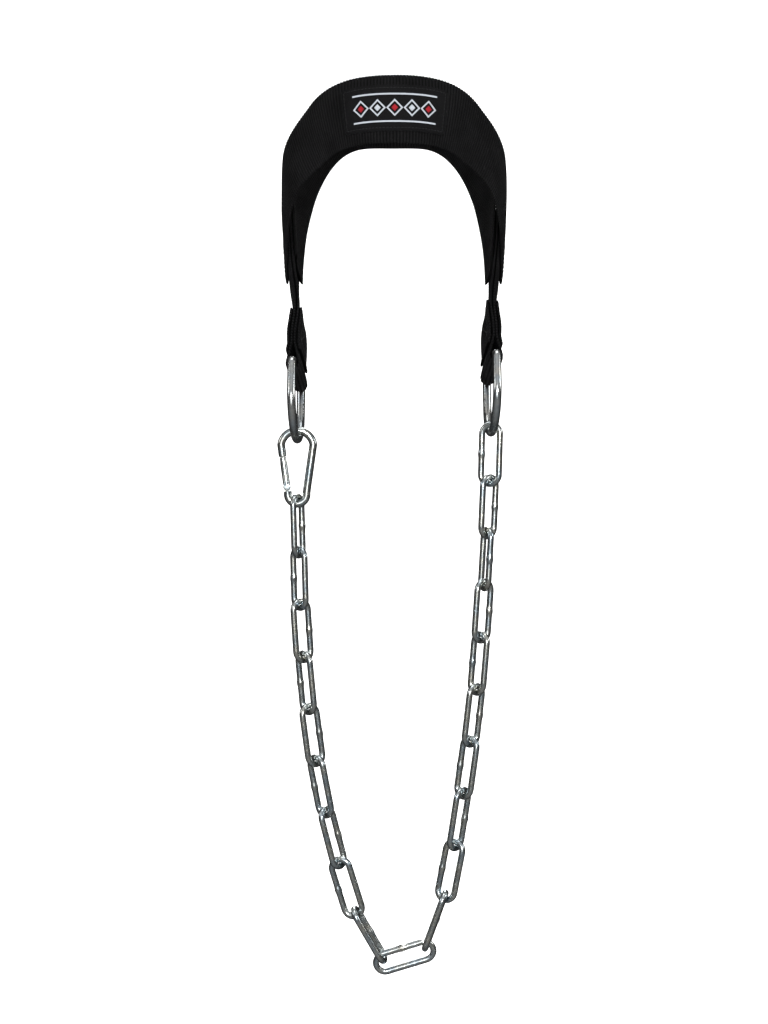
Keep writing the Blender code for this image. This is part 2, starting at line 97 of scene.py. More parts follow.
def smooth_step(value: float, low: float, high: float) -> float:
    """Rise smoothly from 0 at low to 1 at high.

    Args:
        value: Where to read the rise.
        low: Value at which it starts.
        high: Value at which it ends.

    Returns:
        A share from 0 to 1.
    """
    share = min(max((value - low) / (high - low), 0.0), 1.0)
    return share * share * (3.0 - 2.0 * share)


def arc(centre: Flat, radius: float, first: float, last: float, steps: int) -> list[Flat]:
    """List points of an arc in a plane, both ends included.

    Args:
        centre: Middle of the arc.
        radius: Radius of the arc.
        first: Angle of the first point, in degrees.
        last: Angle of the last point, in degrees.
        steps: Number of chords.

    Returns:
        Points in the plane.
    """
    turns = [math.radians(first + (last - first) * step / steps) for step in range(steps + 1)]
    return [(centre[0] + radius * math.cos(turn), centre[1] + radius * math.sin(turn)) for turn in turns]


def between(first: Flat, last: Flat, share: float) -> Flat:
    """Return the point at a share of the way from one point of a plane to another."""
    return (first[0] + (last[0] - first[0]) * share, first[1] + (last[1] - first[1]) * share)


def add_piece(name: str, shell: bmesh.types.BMesh, sharp: float = 60.0) -> bpy.types.Object:
    """Make an object from a bmesh and free the bmesh.

    Args:
        name: Name of the object.
        shell: The faces, with any normals.
        sharp: Edges sharper than this many degrees stay sharp.

    Returns:
        The object, shaded smooth.
    """
    bmesh.ops.recalc_face_normals(shell, faces=shell.faces)
    mesh = bpy.data.meshes.new(name)
    shell.to_mesh(mesh)
    shell.free()
    mesh.shade_smooth()
    mesh.set_sharp_from_angle(angle=math.radians(sharp))
    piece = bpy.data.objects.new(name, mesh)
    bpy.context.scene.collection.objects.link(piece)
    return piece


def loft(
    name: str,
    rows: Sequence[Sequence[Vector]],
    uv: Callable[[int, int], Flat],
    closed: bool = False,
) -> bpy.types.Object:
    """Join round sections into a closed skin.

    Args:
        name: Name of the object.
        rows: Sections of equal size, each a closed loop of points.
        uv: Place on the cut cloth or wire for a row and a column.
        closed: Whether the last section joins the first, in place of end caps.

    Returns:
        The object.
    """
    shell = bmesh.new()
    layer = shell.loops.layers.uv.new("cut")
    corners = [[shell.verts.new(point) for point in row] for row in rows]
    count, size = len(rows), len(rows[0])
    cells = []
    for row in range(count if closed else count - 1):
        for column in range(size):
            cells.append(((row, column), (row, column + 1), (row + 1, column + 1), (row + 1, column)))
    if not closed:
        cells.append(tuple((0, column) for column in reversed(range(size))))
        cells.append(tuple((count - 1, column) for column in range(size)))
    for cell in cells:
        face = shell.faces.new([corners[row % count][column % size] for row, column in cell])
        for loop, spot in zip(face.loops, cell):
            loop[layer].uv = uv(*spot)
    return add_piece(name, shell)


def dress(
    piece: bpy.types.Object,
    body: Body,
    slot: Slot,
    material: bpy.types.Material,
    *nodes: str,
) -> bpy.types.Object:
    """Give a piece its material and its body, and hide the solids that it stands for.

    Args:
        piece: The object to dress.
        body: Body that it rides on.
        slot: The record's slot for its finish; not used.
        material: Its material.
        *nodes: Names of the solids that it replaces.

    Returns:
        The same object.
    """
    piece.data.materials.clear()
    piece.data.materials.append(material)
    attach(piece, body.value)
    if nodes:
        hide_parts(*nodes)
    return piece


class Course:
    """A line through close points, read by the length run along it."""

    def __init__(self, points: Sequence[Vector]) -> None:
        """Measure the line.

        Args:
            points: Close points along the line.
        """
        self.points = list(points)
        self.runs = [0.0]
        for before, after in zip(self.points, self.points[1:]):
            self.runs.append(self.runs[-1] + (after - before).length)

    @property
    def length(self) -> float:
        """Return the whole length."""
        return self.runs[-1]

    def at(self, run: float) -> Vector:
        """Find the point at a length along the line.

        Args:
            run: Length from the start.

        Returns:
            The point, which lies on the line drawn out where run is past an end.
        """
        index = min(max(bisect.bisect_right(self.runs, run), 1), len(self.runs) - 1)
        start = self.runs[index - 1]
        share = (run - start) / (self.runs[index] - start)
        return self.points[index - 1].lerp(self.points[index], share)

    def along(self, run: float, reach: float = 0.001) -> Vector:
        """Return the direction of the line at a length along it."""
        return (self.at(run + reach) - self.at(run - reach)).normalized()


class Shader:
    """Nodes of one material, added and joined by short calls."""

    CLOUD: Flat = (0.35, 0.65)

    def __init__(self, name: str) -> None:
        """Start a material with a Principled shader.

        Args:
            name: Name of the material.
        """
        self.material = bpy.data.materials.new(name)
        self.material.use_nodes = True
        self.tree = self.material.node_tree
        self.shader = self.tree.nodes["Principled BSDF"]

    def feed(self, socket: bpy.types.NodeSocket, value: object) -> None:
        """Join an output to a socket, or set the socket to a constant.

        Args:
            socket: The input.
            value: An output socket or a constant.
        """
        if isinstance(value, bpy.types.NodeSocket):
            self.tree.links.new(value, socket)
        else:
            socket.default_value = value

    def add(self, kind: str, inputs: dict[object, object], **settings: object) -> bpy.types.Node:
        """Add a node.

        Args:
            kind: Type of the node.
            inputs: Values or outputs for its sockets, by name or number.
            **settings: Its properties.

        Returns:
            The node.
        """
        node = self.tree.nodes.new(kind)
        for key, value in settings.items():
            setattr(node, key, value)
        for key, value in inputs.items():
            self.feed(node.inputs[key], value)
        return node

    def math(self, operation: str, *values: object) -> bpy.types.NodeSocket:
        """Return the result of a sum on outputs or numbers."""
        return self.add("ShaderNodeMath", dict(enumerate(values)), operation=operation).outputs[0]

    def mix(self, share: object, low: object, high: object) -> bpy.types.NodeSocket:
        """Blend two colours.

        Args:
            share: How much of the second colour.
            low: The first colour.
            high: The second colour.

        Returns:
            The blended colour.
        """
        ends = [value if isinstance(value, bpy.types.NodeSocket) else (*value, 1.0) for value in (low, high)]
        inputs = {0: share, 6: ends[0], 7: ends[1]}
        return self.add("ShaderNodeMix", inputs, data_type="RGBA").outputs[2]

    def solid_place(self) -> bpy.types.NodeSocket:
        """Return the place in the piece's own frame, in metres."""
        return self.add("ShaderNodeTexCoord", {}).outputs["Object"]

    def grain(self, where: object, scale: float, detail: float = 3.0) -> bpy.types.NodeSocket:
        """Return a cloudy value from 0 to 1 at a scale in cycles a metre."""
        inputs = {"Vector": where, "Scale": scale, "Detail": detail}
        return self.add("ShaderNodeTexNoise", inputs).outputs[0]

    def spread(self, value: object, low: float, high: float) -> bpy.types.NodeSocket:
        """Stretch a cloudy value's usual range over a new one.

        Args:
            value: The cloudy value.
            low: Result at the range's low end and under.
            high: Result at the range's high end and over.

        Returns:
            The stretched value.
        """
        inputs = {0: value, 1: self.CLOUD[0], 2: self.CLOUD[1], 3: low, 4: high}
        return self.add("ShaderNodeMapRange", inputs).outputs[0]

    def finish(self, height: object, depth: float, **sockets: object) -> bpy.types.Material:
        """Set the shader's sockets and its relief.

        Args:
            height: Relief as a value.
            depth: Depth of the relief, in metres.
            **sockets: Values for the shader's sockets, with _ for a space.

        Returns:
            The finished material.
        """
        bump = self.add("ShaderNodeBump", {"Height": height, "Distance": depth, "Strength": 1.0})
        self.feed(self.shader.inputs["Normal"], bump.outputs[0])
        return self.settle(**sockets)

    def settle(self, **sockets: object) -> bpy.types.Material:
        """Set the shader's sockets.

        Args:
            **sockets: Values for the shader's sockets, with _ for a space.

        Returns:
            The finished material.
        """
        for key, value in sockets.items():
            if isinstance(value, tuple):
                value = (*value, 1.0)
            self.feed(self.shader.inputs[key.replace("_", " ")], value)
        return self.material


@dataclass(frozen=True)
class WovenFinish:
    """Yarn-dyed polyester weave, read from the place on the cut cloth, darker in the rib grooves as painted
    shade and lighter on the crests as a painted highlight.
    """

    name: str
    groove_shade: Colour
    crest_highlight: Colour
    rib_pitch: float
    yarn_pitch: float
    depth: float
    roughness: Flat
    fluff_scale: float = 2600.0
    worn_scale: float = 45.0
    worn: Flat = (0.75, 1.25)
    yarn_relief: float = 0.7
    fluff_relief: float = 0.5
    specular: float = 0.06

    def make(self) -> bpy.types.Material:
        """Build the material: ribs one way, yarns the other, and a little fluff, with painted shade in the
        grooves and a painted highlight on the crests.

        Returns:
            The material.
        """
        shader = Shader(self.name)
        cut = shader.add("ShaderNodeUVMap", {}, uv_map="cut").outputs[0]
        axes = shader.add("ShaderNodeSeparateXYZ", {0: cut}).outputs
        solid = shader.solid_place()
        skew = shader.math("MULTIPLY", axes[0], math.pi / self.rib_pitch)
        rib = shader.math("ABSOLUTE", shader.math("SINE", skew))
        beat = shader.math("MULTIPLY", axes[1], math.tau / self.yarn_pitch)
        yarn = shader.math("ABSOLUTE", shader.math("SINE", shader.math("ADD", beat, skew)))
        fluff = shader.grain(solid, self.fluff_scale)
        worn = shader.spread(shader.grain(solid, self.worn_scale), *self.worn)
        # Painted light: the colour runs from painted shade in the grooves to a painted highlight on the rib
        # and yarn crests, varied at random in strength.
        crest_light = shader.math("MULTIPLY", shader.math("MULTIPLY", rib, yarn), worn)
        colour = shader.mix(crest_light, self.groove_shade, self.crest_highlight)
        yarns = shader.math("MULTIPLY", yarn, self.yarn_relief)
        height = shader.math("ADD", yarns, shader.math("MULTIPLY", fluff, self.fluff_relief))
        rough = shader.spread(fluff, self.roughness[1], self.roughness[0])
        return shader.finish(
            height, self.depth, Base_Color=colour, Roughness=rough, Specular_IOR_Level=self.specular
        )


@dataclass(frozen=True)
class ThreadFinish:
    """Twisted sewing thread with a faint gloss."""

    name: str
    colour: Colour
    roughness: float
    roughness_spread: float = 0.1
    strand_scale: float = 3200.0
    strand_depth: float = 0.0002
    shade: float = 0.6
    specular: float = 0.15

    def make(self) -> bpy.types.Material:
        """Build the material.

        Returns:
            The material.
        """
        shader = Shader(self.name)
        solid = shader.solid_place()
        strands = shader.grain(solid, self.strand_scale)
        dark = tuple(self.shade * part for part in self.colour)
        colour = shader.mix(shader.spread(strands, 0.0, 1.0), dark, self.colour)
        ends = (self.roughness + self.roughness_spread, self.roughness - self.roughness_spread)
        rough = shader.spread(strands, *ends)
        return shader.finish(
            strands, self.strand_depth, Base_Color=colour, Roughness=rough, Specular_IOR_Level=self.specular
        )


@dataclass(frozen=True)
class SteelFinish:
    """Bright plated steel with bluish and yellowish passivation, haze and fine wear."""

    name: str
    cool: Colour
    warm: Colour
    dull: Colour
    roughness: Flat
    tint_scale: float = 90.0
    haze_scale: float = 420.0
    wear_scale: float = 2400.0
    tarnish: float = 0.30
    relief: float = 0.00003
    wear_relief: float = 0.35

    def make(self) -> bpy.types.Material:
        """Build the material.

        Returns:
            The material.
        """
        shader = Shader(self.name)
        solid = shader.solid_place()
        tint = shader.spread(shader.grain(solid, self.tint_scale, 2.0), 0.0, 1.0)
        haze = shader.grain(solid, self.haze_scale, 3.0)
        wear = shader.grain(solid, self.wear_scale, 2.0)
        plated = shader.mix(tint, self.cool, self.warm)
        colour = shader.mix(shader.spread(haze, self.tarnish, 0.0), plated, self.dull)
        mean = shader.math("MULTIPLY", shader.math("ADD", haze, wear), 0.5)
        rough = shader.spread(mean, *self.roughness)
        height = shader.math("ADD", haze, shader.math("MULTIPLY", wear, self.wear_relief))
        return shader.finish(height, self.relief, Base_Color=colour, Roughness=rough, Metallic=1.0)


@dataclass(frozen=True)
class PaperFinish:
    """Matt pale paper of the studio's floor and backdrop."""

    name: str
    colour: Colour
    glow: float
    pulp_scale: float = 300.0
    roughness: Flat = (0.85, 0.95)

    def make(self) -> bpy.types.Material:
        """Build the material, lit from behind as a light table is.

        Returns:
            The material.
        """
        shader = Shader(self.name)
        solid = shader.solid_place()
        pulp = shader.grain(solid, self.pulp_scale, 0.0)
        rough = shader.spread(pulp, self.roughness[1], self.roughness[0])
        return shader.settle(
            Base_Color=self.colour, Roughness=rough, Specular_IOR_Level=0.0,
            Emission_Color=self.colour, Emission_Strength=self.glow,
        )


@dataclass(frozen=True)
class Finishes:
    """Every finish of the harness, made once."""

    webbing: bpy.types.Material
    patch: bpy.types.Material
    pale_thread: bpy.types.Material
    red_thread: bpy.types.Material
    black_thread: bpy.types.Material
    ring: bpy.types.Material
    snap: bpy.types.Material
    chain: bpy.types.Material

    @classmethod
    def make(cls, rib_pitch: float) -> "Finishes":
        """Make the materials.

        Args:
            rib_pitch: Distance between the webbing's ribs.

        Returns:
            All the finishes.
        """
        return cls(
            # For the webbing and the patch, the first colour is painted shade in the grooves and the second
            # is a painted highlight on the crests.
            webbing=WovenFinish(
                "black_webbing", (0.0004, 0.0004, 0.0005), (0.0095, 0.0095, 0.010), rib_pitch, 0.0012, 0.0003,
                (0.72, 0.95),
            ).make(),
            patch=WovenFinish(
                "patch_cloth", (0.002, 0.002, 0.0022), (0.0065, 0.0065, 0.007), 0.0007, 0.0005, 0.00008,
                (0.5, 0.7),
            ).make(),
            pale_thread=ThreadFinish("pale_thread", (0.38, 0.41, 0.45), 0.6).make(),
            red_thread=ThreadFinish("red_thread", (0.26, 0.006, 0.012), 0.6).make(),
            black_thread=ThreadFinish("black_thread", (0.010, 0.010, 0.011), 0.5).make(),
            ring=SteelFinish(
                "ring_plating", (0.56, 0.62, 0.66), (0.70, 0.69, 0.65), (0.36, 0.38, 0.39), (0.12, 0.24)
            ).make(),
            snap=SteelFinish(
                "snap_plating", (0.44, 0.52, 0.56), (0.62, 0.62, 0.57), (0.28, 0.31, 0.32), (0.15, 0.28)
            ).make(),
            chain=SteelFinish(
                "chain_plating", (0.50, 0.58, 0.63), (0.70, 0.69, 0.62), (0.30, 0.33, 0.36), (0.13, 0.28)
            ).make(),
        )


@dataclass
class HeadForm:
    """Form of the head that the webbing lies on."""

    half_breadth: float = 0.0765
    half_length: float = 0.097
    crown_rise: float = 0.090
    fullness: float = 3.4
    jaw_depth: float = 0.40
    highest_share: float = 0.97
    level_step: float = 0.0005

    def share(self, level: float) -> float:
        """Tell how much of the plan outline is left at a level.

        Args:
            level: Height above the widest level.

        Returns:
            A share from 0 to 1.
        """
        if level < 0.0:
            return 1.0 - (level / self.jaw_depth) ** 2
        rise = min(level / self.crown_rise, self.highest_share)
        return (1.0 - rise ** self.fullness) ** (1.0 / self.fullness)

    def normal(self, spot: Vector) -> Vector:
        """Find the direction out of the head.

        Args:
            spot: A point on the head form.

        Returns:
            A direction of length 1.
        """
        rise = self.share(spot.z + self.level_step) - self.share(spot.z - self.level_step)
        slope = rise / (2.0 * self.level_step)
        flat = Vector((spot.x / self.half_breadth ** 2, spot.y / self.half_length ** 2, 0.0))
        return (flat - Vector((0.0, 0.0, self.share(spot.z) * slope))).normalized()

    def seat(self, point: Vector, offset: float) -> Vector:
        """Move a point level to the head form, then out.

        Args:
            point: A point near the head form.
            offset: Distance out of the form.

        Returns:
            The moved point.
        """
        reach = math.hypot(point.x / self.half_breadth, point.y / self.half_length)
        scale = self.share(point.z) / reach
        spot = Vector((point.x * scale, point.y * scale, point.z))
        return spot + self.normal(spot) * offset


@dataclass
class Hang:
    """How the side straps and rings hang from where the bands meet."""

    junction_level: float = -0.062
    junction_back: float = 0.008
    lean: float = math.radians(20.0)
    drop_left: float = 0.1016
    drop_right: float = 0.0960
    toe: float = math.radians(4.5)
    half_spread: float = 0.0738

    def down(self) -> Vector:
        """Return the direction in which the straps hang."""
        return Vector((0.0, -math.sin(self.lean), -math.cos(self.lean)))

    def across(self) -> Vector:
        """Return the direction across the straps, to the back."""
        return Vector((0.0, math.cos(self.lean), -math.sin(self.lean)))

    def drop(self, side: Side) -> float:
        """Return the distance from the bands' meeting place to a ring's bar."""
        return self.drop_left if side is Side.LEFT else self.drop_right

    def bar_direction(self, side: Side) -> Vector:
        """Return the direction of a ring's bar, to the back."""
        level = Vector((-side.value * math.sin(self.toe), math.cos(self.toe), 0.0))
        return (level - self.down() * level.dot(self.down())).normalized()

    def bar_centre(self, side: Side) -> Vector:
        """Return the middle of a ring's bar."""
        start = Vector((side.value * self.half_spread, self.junction_back, self.junction_level))
        return start + self.down() * self.drop(side)


@dataclass
class Webbing:
    """Heavy ribbed webbing of one width, laid station by station."""

    width: float
    thickness: float = 0.0023
    rib_pitch: float = 0.0023
    rib_height: float = 0.00055
    tooth: float = 0.0011
    rib_rest: float = 0.6
    pinch: float = 0.6
    pinch_power: int = 12
    wave: float = 0.00045
    wave_scale: float = 32.0
    steps_per_rib: int = 4
    columns: int = 10

    def section(self, run: float, seed: float) -> list[tuple[float, float]]:
        """List the cloth's section at a length along it.

        Args:
            run: Length along the cloth.
            seed: Place of this cloth in the pattern of waves.

        Returns:
            Distances across and out, round the section.
        """
        ridge = abs(math.sin(math.pi * run / self.rib_pitch))
        half_width = self.width / 2.0 - self.tooth * (1.0 - ridge) ** 2
        outer, inner = [], []
        for column in range(self.columns + 1):
            share = math.sin(math.pi * (column / self.columns - 0.5))
            across = half_width * share
            edge = 1.0 - self.pinch * share ** self.pinch_power
            half = (self.thickness / 2.0 + self.rib_height * (ridge - self.rib_rest)) * edge
            wobble = self.wave * noise.noise(Vector((run, across, seed)) * self.wave_scale)
            outer.append((across, wobble + half))
            inner.append((across, wobble - half))
        return outer + inner[::-1]

    def weave(
        self, name: str, length: float, station: Callable[[float], Place], seed: float
    ) -> bpy.types.Object:
        """Lay the webbing along its course.

        Args:
            name: Name of the object.
            length: Length of the cut webbing.
            station: The place of a section for a length along the cloth.
            seed: Place of this cloth in the pattern of waves.

        Returns:
            The object.
        """
        steps = round(length / self.rib_pitch * self.steps_per_rib)
        runs = [length * step / steps for step in range(steps + 1)]
        rows = []
        spans = []
        for run in runs:
            place = station(run)
            section = self.section(run, seed)
            rows.append([place(across, out) for across, out in section])
            spans.append([across for across, _ in section] + [section[0][0]])
        return loft(name, rows, lambda row, column: (runs[row], spans[row][column]))


@dataclass
class Thread:
    """Sewing thread, laid as single stitches."""

    radius: float = 0.00038
    stitch: float = 0.0030
    space: float = 0.0007
    sides: int = 6
    probe: float = 0.001
    profile: tuple[tuple[float, float, float], ...] = (
        (0.0, 0.45, -0.7), (0.12, 0.85, 0.1), (0.5, 1.0, 0.45), (0.88, 0.85, 0.1), (1.0, 0.45, -0.7),
    )

    def sew(self, name: str, lines: Sequence[tuple[Flat, Flat]], cloth: Surface) -> bpy.types.Object:
        """Sew straight lines on a cloth.

        Args:
            name: Name of the object.
            lines: Ends of each line on the flat cloth.
            cloth: Point of the cloth for two flat distances and a distance out.

        Returns:
            All stitches as one object.
        """
        shell = bmesh.new()
        for start, end in lines:
            length = math.dist(start, end)
            count = max(round(length / (self.stitch + self.space)), 1)
            inset = self.space / 2.0 * count / length
            for index in range(count):
                first = (index + inset) / count
                last = (index + 1.0 - inset) / count
                self.lay(shell, start, end, (first, last), cloth)
        return add_piece(name, shell)

    def lay(self, shell: bmesh.types.BMesh, start: Flat, end: Flat, shares: Flat, cloth: Surface) -> None:
        """Add one stitch.

        Args:
            shell: Receives the stitch.
            start: Start of the sewn line.
            end: End of the sewn line.
            shares: Where the stitch starts and ends, as shares of the line.
            cloth: Point of the cloth for two flat distances and a distance out.
        """
        spots = [between(start, end, share) for share in shares]
        ends = [cloth(*spot, 0.0) for spot in spots]
        out = (cloth(*spots[1], self.probe) - ends[1]).normalized()
        side = (ends[1] - ends[0]).cross(out).normalized()
        rings = []
        for share, girth, lift in self.profile:
            spot = ends[0].lerp(ends[1], share) + out * (self.radius * lift)
            ring = []
            for corner in range(self.sides):
                turn = math.tau * corner / self.sides
                reach = self.radius * girth
                flank = side * (reach * math.cos(turn))
                ring.append(shell.verts.new(spot + flank + out * (reach * math.sin(turn))))
            rings.append(ring)
        for before, after in zip(rings, rings[1:]):
            for corner in range(self.sides):
                beside = (corner + 1) % self.sides
                shell.faces.new((before[corner], before[beside], after[beside], after[corner]))
        shell.faces.new(rings[0][::-1])
        shell.faces.new(rings[-1])


def box_seam(middle: Flat, width: float, height: float) -> list[tuple[Flat, Flat]]:
    """List the lines of a sewn box with a cross in it.

    Args:
        middle: Middle of the box on the flat cloth.
        width: Size along the first axis.
        height: Size along the second axis.

    Returns:
        Ends of each line.
    """
    signs = ((-1, -1), (1, -1), (1, 1), (-1, 1))
    corners = [(middle[0] + width / 2.0 * x, middle[1] + height / 2.0 * y) for x, y in signs]
    lines = [(corners[index], corners[(index + 1) % 4]) for index in range(4)]
    return lines + [(corners[0], corners[2]), (corners[1], corners[3])]


@dataclass
class Band:
    """A band of webbing from the junction beside one ear, round the head, to the other."""

    name: str
    facing: Facing
    far_level: float
    lift: float
    seed: float
    head: HeadForm
    hang: Hang
    cloth: Webbing
    arch: float = 1.7
    tail: float = 0.014
    lift_start: float = math.radians(48.0)
    lift_end: float = math.radians(70.0)
    angle_step: float = 0.002
    seam_size: Flat = (0.022, 0.036)
    course: Course = field(init=False)

    def __post_init__(self) -> None:
        """Measure the band's centre line."""
        angle = math.acos(self.facing.value * self.hang.junction_back / self.head.half_length)
        spot = self.centre(angle)
        run = 0.0
        while run < self.tail:
            angle += self.angle_step
            after = self.centre(angle)
            run += (after - spot).length
            spot = after
        steps = round(angle / self.angle_step)
        self.course = Course([self.centre(angle * step / steps) for step in range(-steps, steps + 1)])

    def centre(self, angle: float) -> Vector:
        """Find a point of the centre line, which arches down to the junction.

        Args:
            angle: Angle from the band's middle.

        Returns:
            The point on the head form.
        """
        meeting = 1.0 - self.facing.value * self.hang.junction_back / self.head.half_length
        fall = ((1.0 - math.cos(angle)) / meeting) ** self.arch
        level = self.far_level + (self.hang.junction_level - self.far_level) * fall
        share = self.head.share(level)
        x = self.head.half_breadth * share * math.sin(angle)
        y = self.facing.value * self.head.half_length * share * math.cos(angle)
        return Vector((x, y, level))

    def station(self, run: float) -> Place:
        """Find the place of a section.

        Args:
            run: Length along the band from its middle.

        Returns:
            Point for a distance across and a distance out of the cloth's middle.
        """
        middle = self.course.length / 2.0 + run
        centre = self.course.at(middle)
        side = self.head.normal(centre).cross(self.course.along(middle)).normalized()
        if side.z < 0.0:
            side.negate()
        depth = self.facing.value * centre.y / self.head.half_length
        angle = abs(math.atan2(centre.x / self.head.half_breadth, depth))
        rise = self.cloth.thickness / 2.0 + self.lift * smooth_step(angle, self.lift_start, self.lift_end)
        return lambda across, out: self.head.seat(centre + side * across, rise + out)

    def on_face(self, run: float, across: float, out: float) -> Vector:
        """Return a point over the band's outer face, from the band's middle."""
        return self.station(run)(across, self.cloth.thickness / 2.0 + out)

    def build(self, finishes: Finishes, thread: Thread) -> None:
        """Build and dress the band, and for the front band the seams that hold its ends.

        Args:
            finishes: The materials.
            thread: Thread of the seams.
        """
        half = self.course.length / 2.0
        name = self.name + "_webbing"
        piece = self.cloth.weave(name, self.course.length, lambda run: self.station(run - half), self.seed)
        dress(piece, Body.HARNESS, Slot.WEBBING, finishes.webbing, self.name)
        self.course.length
        if self.facing is Facing.REAR:
            return
        seams = []
        for end in (-1, 1):
            seams += box_seam((end * (half - self.tail), 0.0), *self.seam_size)
        sewn = thread.sew("junction_stitches", seams, self.on_face)
        dress(sewn, Body.HARNESS, Slot.WEBBING, finishes.black_thread)


@dataclass
class Patch:
    """Woven patch with a traditional row of lozenges, on the middle of the front band."""

    band: Band
    length: float = 0.076
    height: float = 0.033
    thickness: float = 0.0010
    seat: float = GAP
    corner: float = 0.0025
    corner_steps: int = 5
    side_steps: tuple[int, int] = (26, 12)
    rings: int = 14
    hub: float = 0.2
    rim: tuple[Flat, ...] = ((0.992, 0.0), (1.0, -0.35), (1.0, -0.8), (0.99, -1.0), (0.5, -1.0), (0.02, -1.0))
    seam_inset: float = 0.0022
    lozenges: int = 5
    lozenge_width: float = 0.0118
    lozenge_height: float = 0.0128
    stroke: float = 0.22
    rule_height: float = 0.0011
    rule_level: float = 0.0098
    edge_steps: int = 5
    rule_steps: int = 40
    relief: float = 0.0003
    frame_share: float = 0.97
    core_share: float = 0.38
    hole_share: float = 0.02

    def place(self, x: float, y: float, out: float) -> Vector:
        """Return a point over the patch's face."""
        return self.band.on_face(x, y, self.seat + self.thickness + out)

    def outline(self) -> list[Flat]:
        """List the patch's rounded outline, with close points along its sides.

        Returns:
            Points round the patch.
        """
        x, y = self.length / 2.0 - self.corner, self.height / 2.0 - self.corner
        corners = ((x, y, 0.0), (-x, y, 90.0), (-x, -y, 180.0), (x, -y, 270.0))
        points: list[Flat] = []
        for index, (middle_x, middle_y, turn) in enumerate(corners):
            bend = arc((middle_x, middle_y), self.corner, turn, turn + 90.0, self.corner_steps)
            points += bend
            after_x, after_y, after_turn = corners[(index + 1) % 4]
            ahead = arc((after_x, after_y), self.corner, after_turn, after_turn, 1)[0]
            steps = self.side_steps[index % 2]
            points += [between(bend[-1], ahead, step / steps) for step in range(1, steps)]
        return points

    def build_cloth(self) -> bpy.types.Object:
        """Build the patch, with a rounded rim.

        Returns:
            The object.
        """
        outline = self.outline()
        levels = [((ring + self.hub) / (self.rings + self.hub), 0.0) for ring in range(self.rings)]
        levels += [(share, depth * self.thickness) for share, depth in self.rim]
        rows = [[self.place(x * share, y * share, out) for x, y in outline] for share, out in levels]
        size = len(outline)

        def cut(row: int, column: int) -> Flat:
            """Return the flat place of a point."""
            x, y = outline[column % size]
            return (x * levels[row][0], y * levels[row][0])

        return loft("patch_cloth", rows, cut)

    def strip(self, shell: bmesh.types.BMesh, first: list[Flat], second: list[Flat], closed: bool) -> None:
        """Add a raised strip between two lines of points.

        Args:
            shell: Receives the strip.
            first: Points of one line.
            second: Points of the other line, as many.
            closed: Whether the lines close on themselves.
        """
        layer = shell.loops.layers.uv.verify()
        ranks = []
        low, high = -self.relief, self.relief
        for line, out in ((first, low), (first, high), (second, high), (second, low)):
            ranks.append([(shell.verts.new(self.place(x, y, out)), (x, y)) for x, y in line])
        count = len(first)
        cells = []
        for index in range(count if closed else count - 1):
            after = (index + 1) % count
            for rank, here in enumerate(ranks):
                beside = ranks[(rank + 1) % len(ranks)]
                cells.append((here[index], here[after], beside[after], beside[index]))
        if not closed:
            cells.append(tuple(rank[0] for rank in reversed(ranks)))
            cells.append(tuple(rank[-1] for rank in ranks))
        for cell in cells:
            face = shell.faces.new([corner for corner, _ in cell])
            for loop, (_, flat) in zip(face.loops, cell):
                loop[layer].uv = flat

    def lozenge(self, middle: float, share: float) -> list[Flat]:
        """List points round a lozenge.

        Args:
            middle: Distance of its middle from the patch's middle.
            share: Its size as a share of a whole lozenge.

        Returns:
            Points round it.
        """
        x, y = self.lozenge_width / 2.0 * share, self.lozenge_height / 2.0 * share
        corners = [(x, 0.0), (0.0, y), (-x, 0.0), (0.0, -y)]
        points = []
        for index, corner in enumerate(corners):
            for step in range(self.edge_steps):
                point = between(corner, corners[(index + 1) % 4], step / self.edge_steps)
                points.append((middle + point[0], point[1]))
        return points

    def build(self, finishes: Finishes, thread: Thread) -> None:
        """Build and dress the patch, its border seam and its pattern.

        Args:
            finishes: The materials.
            thread: Thread of the border seam.
        """
        cloth = dress(self.build_cloth(), Body.HARNESS, Slot.PATCH, finishes.patch, "label_patch")
        self.length
        inset = self.seam_inset * 2.0
        border = box_seam((0.0, 0.0), self.length - inset, self.height - inset)[:4]
        sewn = thread.sew("patch_stitches", border, self.place)
        dress(sewn, Body.HARNESS, Slot.PATCH, finishes.black_thread)
        pale, red = bmesh.new(), bmesh.new()
        half_row = self.lozenge_width * self.lozenges / 2.0
        for index in range(self.lozenges):
            middle = self.lozenge_width * (index + 0.5) - half_row
            inside = self.lozenge(middle, self.frame_share - self.stroke)
            self.strip(pale, self.lozenge(middle, self.frame_share), inside, True)
            core = red if index % 2 == 0 else pale
            hole = self.lozenge(middle, self.hole_share)
            self.strip(core, self.lozenge(middle, self.core_share), hole, True)
        for level in (-self.rule_level, self.rule_level):
            runs = [half_row * (2.0 * step / self.rule_steps - 1.0) for step in range(self.rule_steps + 1)]
            low = [(run, level - self.rule_height / 2.0) for run in runs]
            high = [(run, level + self.rule_height / 2.0) for run in runs]
            self.strip(pale, low, high, False)
        dress(add_piece("pattern_pale", pale, 30.0), Body.HARNESS, Slot.PATCH, finishes.pale_thread)
        dress(add_piece("pattern_red", red, 30.0), Body.HARNESS, Slot.PATCH, finishes.red_thread)


